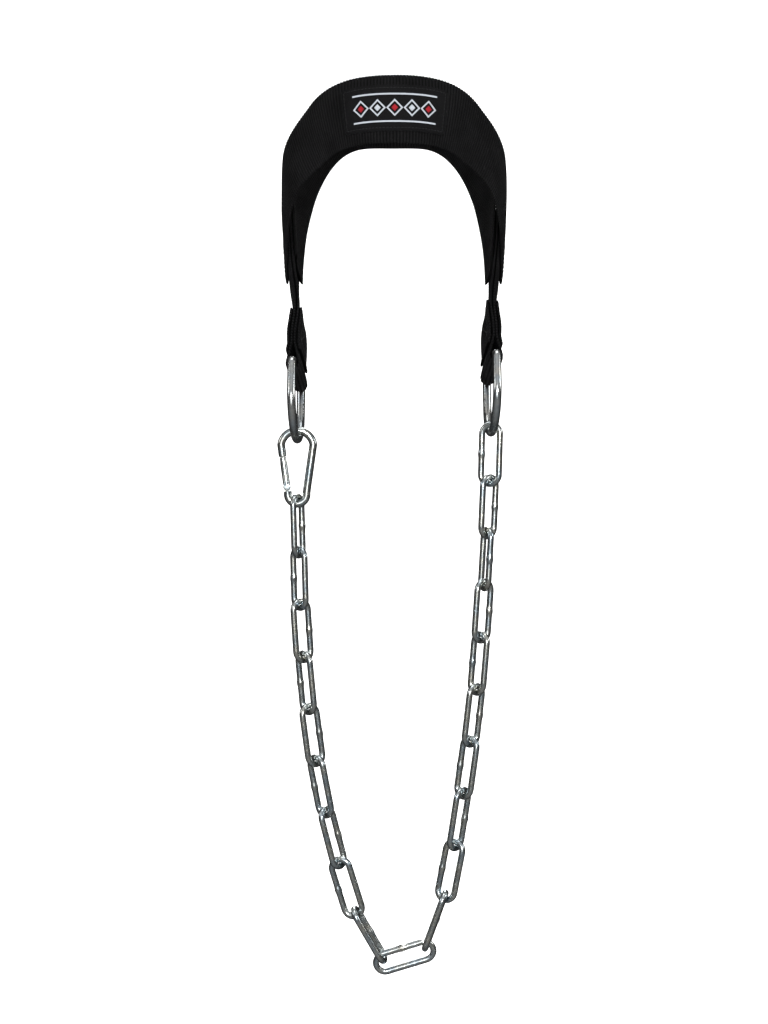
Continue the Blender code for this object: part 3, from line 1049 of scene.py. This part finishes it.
@dataclass
class SideStrap:
    """Webbing folded round a ring's bar and sewn into a thick bundle above it."""

    side: Side
    head: HeadForm
    hang: Hang
    cloth: Webbing
    ring_wire: float = 0.0065
    gap: float = GAP
    rise: float = 0.022
    tuck: float = 0.0078
    tail: float = 0.014
    hug: float = 0.0175
    bundle: float = 0.046
    flare: float = 0.016
    flare_angle: float = 15.0
    fold_end: float = 0.010
    layer_gap: float = 0.0001
    bulge: float = 0.0004
    seeds: tuple[float, float] = (3.0, 5.0)
    course_steps: int = 60
    flare_steps: int = 10
    wrap_steps: int = 24
    seam_size: Flat = (0.022, 0.034)

    @property
    def length(self) -> float:
        """Return the distance from the strap's top to the ring's bar."""
        return self.hang.drop(self.side) + self.rise

    @property
    def layer_ends(self) -> Flat:
        """Return where the bundle's extra layers start and end, down the strap."""
        return (self.length - self.bundle, self.length - self.fold_end)

    def swell(self, run: float) -> float:
        """Return how far the extra layers bulge at a length down the strap."""
        start, end = self.layer_ends
        return self.bulge * math.sin(math.pi * (run - start) / (end - start))

    def on_head(self, spot: Vector) -> float:
        """Find where the strap lies on the rear band.

        Args:
            spot: A point beside the head.

        Returns:
            The x of the strap's middle there.
        """
        layer = self.cloth.thickness * 2.0 + self.gap
        bend = math.sqrt(self.head.share(spot.z) ** 2 - (spot.y / self.head.half_length) ** 2)
        seat = Vector((self.side.value * self.head.half_breadth * bend, spot.y, spot.z))
        return seat.x + layer / abs(self.head.normal(seat).x) * self.side.value

    def place(self, run: float, across: float, out: float) -> Vector:
        """Find a point of the strap.

        Args:
            run: Length down the strap.
            across: Distance to the back.
            out: Distance away from the head, from the strap's middle.

        Returns:
            The point.
        """
        down, wide = self.hang.down(), self.hang.across()
        top = Vector((0.0, self.hang.junction_back, self.hang.junction_level)) - down * self.rise
        spot = top + down * run + wide * across
        bar, bar_run = self.hang.bar_centre(self.side), self.hang.bar_direction(self.side)
        leave = self.rise + self.tail + self.hug
        share = smooth_step(run, leave, self.length - self.bundle * 0.5)
        x = (bar.x + bar_run.x / wide.dot(bar_run) * across) * share
        if share < 1.0:
            x += self.on_head(spot) * (1.0 - share)
        return Vector((x + self.side.value * out, spot.y, spot.z))

    def half_path(self) -> list[Vector]:
        """List one half of the fold, from the top down to under the bar.

        Returns:
            Points with the distance out and the length down.
        """
        out = self.cloth.thickness / 2.0 + self.layer_gap
        reach = (self.ring_wire + self.cloth.thickness) / 2.0 + self.gap
        wrap = arc((0.0, self.length), reach, -self.flare_angle, 90.0, self.wrap_steps)
        start, flare = Vector((out, -self.tuck, 0.0)), Vector((out, self.length - self.flare, 0.0))
        straight = [start.lerp(flare, step / self.course_steps) for step in range(self.course_steps)]
        bottom = Vector((*wrap[0], 0.0))
        slope = [flare.lerp(bottom, step / self.flare_steps) for step in range(self.flare_steps)]
        return straight + slope + [Vector((*point, 0.0)) for point in wrap]

    def weave(self, name: str, path: Sequence[Vector], seed: float) -> tuple[bpy.types.Object, float]:
        """Lay webbing along a path in the strap's section.

        Args:
            name: Name of the object.
            path: Points with the distance out and the length down.
            seed: Place of this cloth in the pattern of waves.

        Returns:
            The object and its length.
        """
        course = Course(path)

        def station(run: float) -> Place:
            """Return the place of a section at a length along the path."""
            spot, along = course.at(run), course.along(run)
            return lambda across, out: self.place(spot.y - along.x * out, across, spot.x + along.y * out)

        return self.cloth.weave(name, course.length, station, seed), course.length

    def build(self, finishes: Finishes, thread: Thread) -> None:
        """Build and dress the folded strap, its outer layers and its seams.

        Args:
            finishes: The materials.
            thread: Thread of the seams.
        """
        word = self.side.word
        half = self.half_path()
        back = [Vector((-point.x, point.y, 0.0)) for point in reversed(half[:-1])]
        strap, length = self.weave("strap_webbing_" + word, half + back, self.seeds[0] + self.side.value)
        dress(strap, Body.HARNESS, Slot.WEBBING, finishes.webbing, "side_strap_" + word)
        start, end = self.layer_ends
        layer = self.cloth.thickness + self.layer_gap
        for sign, face in ((1.0, "outer"), (-1.0, "inner")):
            path = []
            for point in half:
                if start <= point.y <= end and point.x > 0.0:
                    path.append(Vector((sign * (point.x + layer + self.swell(point.y)), point.y, 0.0)))
            if sign < 0.0:
                path.reverse()
            fold, length = self.weave("strap_%s_layer_%s" % (face, word), path, self.seeds[1] + sign)
            dress(fold, Body.HARNESS, Slot.WEBBING, finishes.webbing)

            def cloth(run: float, across: float, out: float, sign: float = sign) -> Vector:
                """Return a point over the bundle's face."""
                return self.place(run, across, sign * (layer * 2.0 + self.swell(run) + out))

            middle = (start + self.length - self.flare) / 2.0
            seams = box_seam((middle, 0.0), *self.seam_size)
            sewn = thread.sew("strap_%s_stitches_%s" % (face, word), seams, cloth)
            dress(sewn, Body.HARNESS, Slot.WEBBING, finishes.black_thread)


@dataclass
class Wire:
    """Round wire along a path that lies in one plane."""

    radius: float
    sides: int = 20

    def bend(
        self,
        name: str,
        path: Sequence[Vector],
        plane: Vector,
        closed: bool,
        girth: Callable[[int], float] = lambda index: 1.0,
    ) -> bpy.types.Object:
        """Bend the wire along the path.

        Args:
            name: Name of the object.
            path: Close points along the wire.
            plane: Direction out of the path's plane.
            closed: Whether the wire closes on itself.
            girth: Share of the radius at each point.

        Returns:
            The object.
        """
        count = len(path)
        turns = [math.tau * corner / self.sides for corner in range(self.sides)]
        rows = []
        runs = [0.0]
        for index, spot in enumerate(path):
            before = path[index - 1] if closed or index else spot
            after = path[(index + 1) % count] if closed or index < count - 1 else spot
            side = (after - before).normalized().cross(plane)
            reach = self.radius * girth(index)
            rows.append([spot + (side * math.cos(turn) + plane * math.sin(turn)) * reach for turn in turns])
            runs.append(runs[-1] + (path[(index + 1) % count] - spot).length)
        step = math.tau * self.radius / self.sides
        return loft(name, rows, lambda row, column: (runs[row], step * column), closed)


@dataclass
class Ring:
    """D-ring whose straight bar lies in the strap's fold."""

    side: Side
    hang: Hang
    wire: Wire
    inner_width: float = 0.050
    height: float = 0.0578
    corner: float = 0.0040
    bow_steps: int = 60
    corner_steps: int = 10
    bar_steps: int = 10

    @property
    def bow(self) -> float:
        """Return the radius of the bow's wire line."""
        return self.inner_width / 2.0 + self.wire.radius

    @property
    def leg(self) -> float:
        """Return the distance from the bar's wire line to the bow's centre."""
        return self.height - self.wire.radius * 2.0 - self.bow

    def lowest(self) -> Vector:
        """Find where the bow is lowest.

        Returns:
            The wire's middle there.
        """
        down = self.hang.down()
        middle = self.hang.bar_centre(self.side) + down * self.leg
        face = self.hang.bar_direction(self.side).cross(down).normalized()
        fall = Vector((0.0, 0.0, -1.0))
        return middle + (fall - face * face.dot(fall)).normalized() * self.bow

    def build(self, finishes: Finishes) -> None:
        """Build and dress the ring.

        Args:
            finishes: The materials.
        """
        inner = self.bow - self.corner
        outline = [(inner * (2.0 * step / self.bar_steps - 1.0), 0.0) for step in range(1, self.bar_steps)]
        outline += arc((inner, -self.corner), self.corner, 90.0, 0.0, self.corner_steps)
        outline += arc((0.0, -self.leg), self.bow, 0.0, -180.0, self.bow_steps)
        outline += arc((-inner, -self.corner), self.corner, 180.0, 90.0, self.corner_steps)
        centre, run = self.hang.bar_centre(self.side), self.hang.bar_direction(self.side)
        down = self.hang.down()
        path = [centre + run * across - down * rise for across, rise in outline]
        ring = self.wire.bend("ring_round_" + self.side.word, path, run.cross(down).normalized(), True)
        dress(ring, Body.HARNESS, Slot.RING, finishes.ring, "ring_" + self.side.word)


def rod(
    name: str, centre: Vector, direction: Vector, radius: float, length: float, soft: float = 0.0
) -> bpy.types.Object:
    """Make a round rod with softened ends.

    Args:
        name: Name of the object.
        centre: Its middle.
        direction: Its axis.
        radius: Its radius.
        length: Its length.
        soft: Size of the rounding at its ends.

    Returns:
        The object.
    """
    shell = bmesh.new()
    bmesh.ops.create_cone(
        shell, cap_ends=True, segments=ROD_SIDES, radius1=radius, radius2=radius, depth=length
    )
    if soft:
        rims = [edge for edge in shell.edges if abs(edge.verts[0].co.z - edge.verts[1].co.z) < soft / 2.0]
        bmesh.ops.bevel(shell, geom=rims, offset=soft, segments=3, profile=0.5, affect="EDGES")
    turn = direction.to_track_quat("Z", "X").to_matrix().to_4x4()
    bmesh.ops.transform(shell, matrix=Matrix.Translation(centre) @ turn, verts=shell.verts)
    return add_piece(name, shell, STEEL_ANGLE)


def block(
    name: str, centre: Vector, along: Vector, sizes: tuple[float, float, float], soft: float = 0.0
) -> bpy.types.Object:
    """Make a block with softened edges, whose third size runs along a direction in the front plane.

    Args:
        name: Name of the object.
        centre: Its middle.
        along: Direction of its third size.
        sizes: Sideways, deep and along.
        soft: Size of the rounding at its edges.

    Returns:
        The object.
    """
    shell = bmesh.new()
    bmesh.ops.create_cube(shell, size=1.0)
    bmesh.ops.transform(shell, matrix=Matrix.Diagonal((*sizes, 1.0)), verts=shell.verts)
    if soft:
        bmesh.ops.bevel(shell, geom=shell.edges[:], offset=soft, segments=2, profile=0.5, affect="EDGES")
    turn = Matrix((Vector((along.z, 0.0, -along.x)), Vector((0.0, 1.0, 0.0)), along)).transposed().to_4x4()
    bmesh.ops.transform(shell, matrix=Matrix.Translation(centre) @ turn, verts=shell.verts)
    return add_piece(name, shell, STEEL_ANGLE)


def carve(base: bpy.types.Object, tool: bpy.types.Object, operation: str) -> None:
    """Cut a tool from a piece or join it on, and drop the tool.

    Args:
        base: The piece.
        tool: The object to cut with or to join.
        operation: DIFFERENCE or UNION.
    """
    change = base.modifiers.new("carve", "BOOLEAN")
    change.operation = operation
    change.object = tool
    bpy.context.view_layer.update()
    graph = bpy.context.evaluated_depsgraph_get()
    mesh = bpy.data.meshes.new_from_object(base.evaluated_get(graph), depsgraph=graph)
    base.modifiers.clear()
    base.data = mesh
    bpy.data.objects.remove(tool, do_unlink=True)
    mesh.shade_smooth()
    mesh.set_sharp_from_angle(angle=math.radians(STEEL_ANGLE))


@dataclass
class Snap:
    """Pear-shaped spring snap that hangs on the left ring, wide end up."""

    ring: Ring
    wire: Wire
    length: float = 0.0610
    wide_width: float = 0.0305
    narrow_width: float = 0.0202
    gap: float = GAP
    gate_radius: float = 0.0027
    gate_top: float = 0.75
    gate_foot: float = 0.04
    shoulder_gap: float = 0.0005
    knuckle_width: float = 0.0050
    tongue_thickness: float = 0.0018
    tongue_radius: float = 0.0022
    tongue_root: float = 0.0015
    nose_length: float = 0.0030
    nose_width: float = 0.0035
    rivet_radius: float = 0.00095
    rivet_length: float = 0.0056
    rivet_head: float = 0.0016
    rivet_head_height: float = 0.0005
    rivet_soft: float = 0.0002
    nose_soft: float = 0.0003
    end_girth: float = 0.84
    foot_share: float = 0.35
    nose_shares: tuple[float, float, float] = (0.3, 0.6, 0.94)
    chamfer: float = 0.0005
    bow_steps: int = 36
    leg_steps: int = 12
    wide: float = field(init=False)
    narrow: float = field(init=False)
    tilt: float = field(init=False)
    wide_centre: Vector = field(init=False)
    narrow_centre: Vector = field(init=False)

    def __post_init__(self) -> None:
        """Work out both bows from the ring that the snap hangs on."""
        self.wide = self.wide_width / 2.0 - self.wire.radius
        self.narrow = self.narrow_width / 2.0 - self.wire.radius
        reach = self.length - self.wire.radius * 2.0 - self.wide - self.narrow
        self.tilt = math.degrees(math.asin((self.wide - self.narrow) / reach))
        rise = self.ring.wire.radius + self.wire.radius + self.gap
        self.wide_centre = self.ring.lowest() + Vector((0.0, 0.0, rise - self.wide))
        self.narrow_centre = self.wide_centre - Vector((0.0, 0.0, reach))

    def leg(self, share: float, right: bool = False) -> Vector:
        """Find a point of a straight leg.

        Args:
            share: 0 at the narrow bow and 1 at the wide bow.
            right: Whether the point is on the right leg, in place of the gate's.

        Returns:
            The wire's middle there.
        """
        angle = math.radians(self.tilt if right else 180.0 - self.tilt)
        out = Vector((math.cos(angle), 0.0, math.sin(angle)))
        return (self.narrow_centre + out * self.narrow).lerp(self.wide_centre + out * self.wide, share)

    def wire_path(self) -> list[Vector]:
        """List the wire's middle from the gate's foot, round both bows, to the nose.

        Returns:
            Close points along the wire.
        """
        foot, nose = self.leg(self.gate_foot), self.leg(self.gate_top)
        path = [foot, foot.lerp(self.leg(0.0), self.foot_share)]
        low = arc((0.0, 0.0), self.narrow, 180.0 - self.tilt, 360.0 + self.tilt, self.bow_steps)
        path += [self.narrow_centre + Vector((x, 0.0, z)) for x, z in low]
        path += [self.leg(step / self.leg_steps, True) for step in range(1, self.leg_steps)]
        high = arc((0.0, 0.0), self.wide, self.tilt, 180.0 - self.tilt, self.bow_steps)
        path += [self.wide_centre + Vector((x, 0.0, z)) for x, z in high]
        path += [self.leg(1.0).lerp(nose, share) for share in self.nose_shares]
        return path + [nose]

    def build(self, finishes: Finishes) -> None:
        """Build and dress the snap's body and gate.

        Args:
            finishes: The materials.
        """
        across = Vector((0.0, 1.0, 0.0))
        up = (self.leg(1.0) - self.leg(0.0)).normalized()
        pivot = self.leg(self.gate_foot) + up * (self.gate_radius + self.gap)
        self.build_body(finishes, up, pivot, across)
        self.build_gate(finishes, up, pivot, across)

    def build_body(self, finishes: Finishes, up: Vector, pivot: Vector, across: Vector) -> None:
        """Build and dress the bent wire with a flattened tongue at each end.

        Args:
            finishes: The materials.
            up: Direction of the gate's leg.
            pivot: Middle of the rivet.
            across: Direction of the rivet.
        """
        path = self.wire_path()
        ends = {0: self.end_girth, len(path) - 1: self.end_girth}
        body = self.wire.bend("snap_body", path, across, False, lambda index: ends.get(index, 1.0))
        height = (pivot - self.leg(self.gate_foot)).length + self.tongue_root
        sizes = (self.tongue_radius * 2.0, self.tongue_thickness, height)
        carve(body, block("tongue", pivot - up * (height / 2.0), up, sizes), "UNION")
        carve(body, rod("eye", pivot, across, self.tongue_radius, self.tongue_thickness), "UNION")
        bore = rod("bore", pivot, across, self.rivet_radius + self.gap, self.tongue_thickness * 3.0)
        carve(body, bore, "DIFFERENCE")
        reach = self.nose_length + self.tongue_root
        middle = self.leg(self.gate_top) - up * (self.nose_length - reach / 2.0)
        tip = block("tip", middle, up, (self.nose_width, self.tongue_thickness, reach), self.nose_soft)
        carve(body, tip, "UNION")
        dress(body, Body.HARNESS, Slot.SNAP, finishes.snap, "snap_hook")

    def build_gate(self, finishes: Finishes, up: Vector, pivot: Vector, across: Vector) -> None:
        """Build and dress the gate, slotted at both ends, with its rivet.

        Args:
            finishes: The materials.
            up: Direction of the gate's leg.
            pivot: Middle of the rivet.
            across: Direction of the rivet.
        """
        top = self.leg(self.gate_top) - up * self.shoulder_gap
        length = (top - pivot).length
        gate = rod("gate_round", pivot.lerp(top, 0.5), up, self.gate_radius, length, self.chamfer)
        knuckle = rod("knuckle", pivot, across, self.gate_radius, self.knuckle_width, self.chamfer)
        carve(gate, knuckle, "UNION")
        slot = self.tongue_thickness + self.gap * 2.0
        wide = self.gate_radius * 4.0
        depth = self.tongue_radius + self.gap * 2.0
        sizes = (wide, slot, depth + self.gate_radius * 2.0)
        middle = pivot + up * (depth / 2.0 - self.gate_radius)
        carve(gate, block("foot_slot", middle, up, sizes), "DIFFERENCE")
        sizes = (wide, slot, (self.nose_length + self.gap * 2.0) * 2.0)
        carve(gate, block("head_slot", top, up, sizes), "DIFFERENCE")
        carve(gate, rod("rivet", pivot, across, self.rivet_radius, self.rivet_length), "UNION")
        for end in (-1.0, 1.0):
            middle = pivot + across * (end * (self.rivet_length - self.rivet_head_height) / 2.0)
            head = rod("head", middle, across, self.rivet_head, self.rivet_head_height, self.rivet_soft)
            carve(gate, head, "UNION")
        dress(gate, Body.GATE, Slot.SNAP, finishes.snap, "snap_gate")


@dataclass
class Chain:
    """Long welded links, each laid in the place of its solid."""

    wire: Wire
    length: float = 0.0494
    width: float = 0.0188
    weld_girth: float = 0.16
    weld_length: float = 0.0021
    bow_steps: int = 18
    leg_steps: int = 26

    def outline(self) -> list[Flat]:
        """List a link's wire line, with its length along the first axis.

        Returns:
            Points round the link, starting with the welded leg.
        """
        bow = self.width / 2.0 - self.wire.radius
        half = (self.length - self.width) / 2.0
        legs = [half * (2.0 * step / self.leg_steps - 1.0) for step in range(self.leg_steps)]
        points = [(run, -bow) for run in legs]
        points += arc((half, 0.0), bow, -90.0, 90.0, self.bow_steps)[:-1]
        points += [(-run, bow) for run in legs]
        return points + arc((-half, 0.0), bow, 90.0, 270.0, self.bow_steps)[:-1]

    def pose(self, node: str) -> tuple[Vector, Vector, Vector, Vector]:
        """Read how a solid link lies.

        Args:
            node: Name of the solid.

        Returns:
            Its middle, and the directions along, across and out of its plane.
        """
        points = np.array([tuple(corner.co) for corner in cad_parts[node].data.vertices])
        _, axes = np.linalg.eigh(np.cov(points.T))
        axes = axes.T[::-1]
        reach = points @ axes.T
        middle = Vector(axes.T @ ((reach.max(axis=0) + reach.min(axis=0)) / 2.0))
        along, across = Vector(axes[0]), Vector(axes[1])
        # An axis found in this way may point either way, so each is turned to one side.
        if along.z < 0.0:
            along.negate()
        if across.x + across.y * 0.5 < 0.0:
            across.negate()
        return middle, along, across, along.cross(across).normalized()

    def girth(self, index: int) -> float:
        """Return the share of the wire's radius at a point, thicker at the weld."""
        away = (index / self.leg_steps - 0.5) * (self.length - self.width)
        return 1.0 + self.weld_girth * math.exp(-((away / self.weld_length) ** 2))

    def build(self, finishes: Finishes) -> int:
        """Build and dress every link.

        Args:
            finishes: The materials.

        Returns:
            The number of links.
        """
        nodes = sorted(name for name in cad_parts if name.startswith("chain_link_"))
        for number, node in enumerate(nodes):
            middle, along, across, out = self.pose(node)
            flip = 1.0 if number % 2 else -1.0
            path = [middle + along * run + across * (reach * flip) for run, reach in self.outline()]
            link = self.wire.bend(node.replace("chain_link", "link_round"), path, out, True, self.girth)
            dress(link, Body.HARNESS, Slot.CHAIN, finishes.chain, node)
        return len(nodes)


@dataclass(frozen=True)
class Lamp:
    """A soft square light of the studio."""

    name: str
    place: tuple[float, float, float]
    size: float
    power: float

    def hang(self, target: Vector) -> None:
        """Hang the light and point it.

        Args:
            target: What it points at.
        """
        light = bpy.data.lights.new(self.name, "AREA")
        light.size = self.size
        light.energy = self.power
        lamp = bpy.data.objects.new(self.name, light)
        lamp.location = self.place
        lamp.rotation_euler = (target - lamp.location).to_track_quat("-Z", "Y").to_euler()
        lamp.visible_camera = False
        bpy.context.scene.collection.objects.link(lamp)


@dataclass
class Studio:
    """Pale floor that curves up into a backdrop, soft lights and the camera."""

    camera_place: tuple[float, float, float] = (-0.0077, -1.5, -0.262)
    lens: float = 68.5
    film_height: float = 36.0
    target: tuple[float, float, float] = (0.0, 0.0, -0.26)
    floor_level: float = -0.72
    floor_radius: float = 2.6
    curve_radius: float = 0.9
    wall_height: float = 2.6
    segments: int = 96
    hub_radius: float = 0.02
    curve_steps: int = 16
    paper: PaperFinish = PaperFinish("pale_paper", (0.62, 0.62, 0.62), 1.6)
    lamps: tuple[Lamp, ...] = (
        Lamp("flash", (0.10, -1.75, 0.12), 0.22, 17.0),
        Lamp("front_box", (-0.35, -2.4, 0.1), 1.2, 7.5),
        Lamp("left_box", (-1.7, -0.5, 0.5), 0.6, 3.0),
        Lamp("right_box", (1.8, -0.3, 0.5), 0.6, 5.0),
        Lamp("top_box", (0.0, -0.2, 1.5), 1.0, 9.0),
        Lamp("back_box", (0.0, 1.7, 1.2), 1.2, 20.0),
    )
    sky: tuple[tuple[float, float], ...] = (
        (0.0, 0.16), (0.36, 0.12), (0.50, 0.07), (0.64, 0.12), (1.0, 0.45),
    )
    front_strength: float = 2.0
    back_strength: float = 0.35
    facing: Flat = (-1.0, 0.3)

    def build_sweep(self) -> None:
        """Build the floor and the backdrop, which the metal doesn't mirror."""
        profile = [(self.hub_radius, 0.0), (self.floor_radius, 0.0)]
        hollow = (self.floor_radius, self.curve_radius)
        bend = arc(hollow, self.curve_radius, -90.0, 0.0, self.curve_steps)
        profile += bend[1:] + [(bend[-1][0], self.wall_height)]
        shell = bmesh.new()
        rows = []
        for radius, rise in profile:
            row = []
            for segment in range(self.segments):
                turn = math.tau * segment / self.segments
                spot = (radius * math.cos(turn), radius * math.sin(turn), self.floor_level + rise)
                row.append(shell.verts.new(spot))
            rows.append(row)
        for before, after in zip(rows, rows[1:]):
            for segment in range(self.segments):
                beside = (segment + 1) % self.segments
                shell.faces.new((before[segment], before[beside], after[beside], after[segment]))
        shell.faces.new(rows[0])
        sweep = add_piece("pale_floor", shell, 80.0)
        sweep.data.materials.append(self.paper.make())
        sweep.visible_glossy = False

    def build_sky(self) -> None:
        """Build the soft surroundings that light the webbing and show in the metal."""
        world = bpy.data.worlds.new("studio")
        world.use_nodes = True
        bpy.context.scene.world = world
        tree = world.node_tree
        ground = tree.nodes["Background"]
        place = tree.nodes.new("ShaderNodeTexCoord")
        axes = tree.nodes.new("ShaderNodeSeparateXYZ")
        height = tree.nodes.new("ShaderNodeMapRange")
        height.inputs[1].default_value = -1.0
        ramp = tree.nodes.new("ShaderNodeValToRGB")
        ramp.color_ramp.elements[0].position = self.sky[0][0]
        ramp.color_ramp.elements[1].position = self.sky[-1][0]
        for position, _ in self.sky[1:-1]:
            ramp.color_ramp.elements.new(position)
        for element, (_, value) in zip(ramp.color_ramp.elements, self.sky):
            element.color = (value, value, value, 1.0)
        tree.links.new(place.outputs["Generated"], axes.inputs[0])
        tree.links.new(axes.outputs[2], height.inputs[0])
        tree.links.new(height.outputs[0], ramp.inputs[0])
        tree.links.new(ramp.outputs[0], ground.inputs[0])
        facing = tree.nodes.new("ShaderNodeMapRange")
        strengths = (self.front_strength, self.back_strength)
        for socket, value in zip(facing.inputs[1:5], (*self.facing, *strengths)):
            socket.default_value = value
        tree.links.new(axes.outputs[1], facing.inputs[0])
        tree.links.new(facing.outputs[0], ground.inputs[1])

    def build_camera(self) -> None:
        """Place the camera level in front of the harness."""
        data = bpy.data.cameras.new("camera")
        data.sensor_fit = "VERTICAL"
        data.sensor_height = self.film_height
        data.lens = self.lens
        camera = bpy.data.objects.new("camera", data)
        camera.location = self.camera_place
        camera.rotation_euler = (math.radians(90.0), 0.0, 0.0)
        bpy.context.scene.collection.objects.link(camera)
        bpy.context.scene.camera = camera

    def build(self) -> None:
        """Build the whole studio."""
        self.build_sweep()
        self.build_sky()
        self.build_camera()
        for lamp in self.lamps:
            lamp.hang(Vector(self.target))
        bpy.context.scene.view_settings.view_transform = "Standard"


def main() -> None:
    """Build and dress the harness, then its studio."""
    logging.basicConfig(level=logging.INFO, format="%(name)s: %(message)s")
    head, hang, thread = HeadForm(), Hang(), Thread()
    band_cloth, strap_cloth = Webbing(width=0.050), Webbing(width=0.046)
    finishes = Finishes.make(band_cloth.rib_pitch)
    lift = band_cloth.thickness + strap_cloth.thickness * 2.0 + GAP * 3.0
    rear = Band(
        "rear_band", Facing.REAR, far_level=0.058, lift=0.0, seed=1.0,
        head=head, hang=hang, cloth=band_cloth,
    )
    front = Band(
        "front_band", Facing.FRONT, far_level=0.0285, lift=lift, seed=2.0,
        head=head, hang=hang, cloth=band_cloth,
    )
    for band in (rear, front):
        band.build(finishes, thread)
        LOG.info("%s: %.0f mm of webbing", band.name, band.course.length * 1000.0)
    Patch(front).build(finishes, Thread(radius=0.00028, stitch=0.0020, space=0.0005))
    LOG.info("patch: border seam and pattern sewn on")
    rings = {}
    for side in Side:
        rings[side] = Ring(side, hang, Wire(radius=0.00325, sides=28))
        rings[side].build(finishes)
        SideStrap(side, head, hang, strap_cloth).build(finishes, thread)
        LOG.info("%s strap and ring: sewn", side.word)
    Snap(rings[Side.LEFT], Wire(radius=0.003, sides=24)).build(finishes)
    LOG.info("snap: body and gate")
    links = Chain(Wire(radius=0.0024, sides=16)).build(finishes)
    LOG.info("chain: %d links", links)
    Studio().build()


if __name__ == "__main__":
    main()
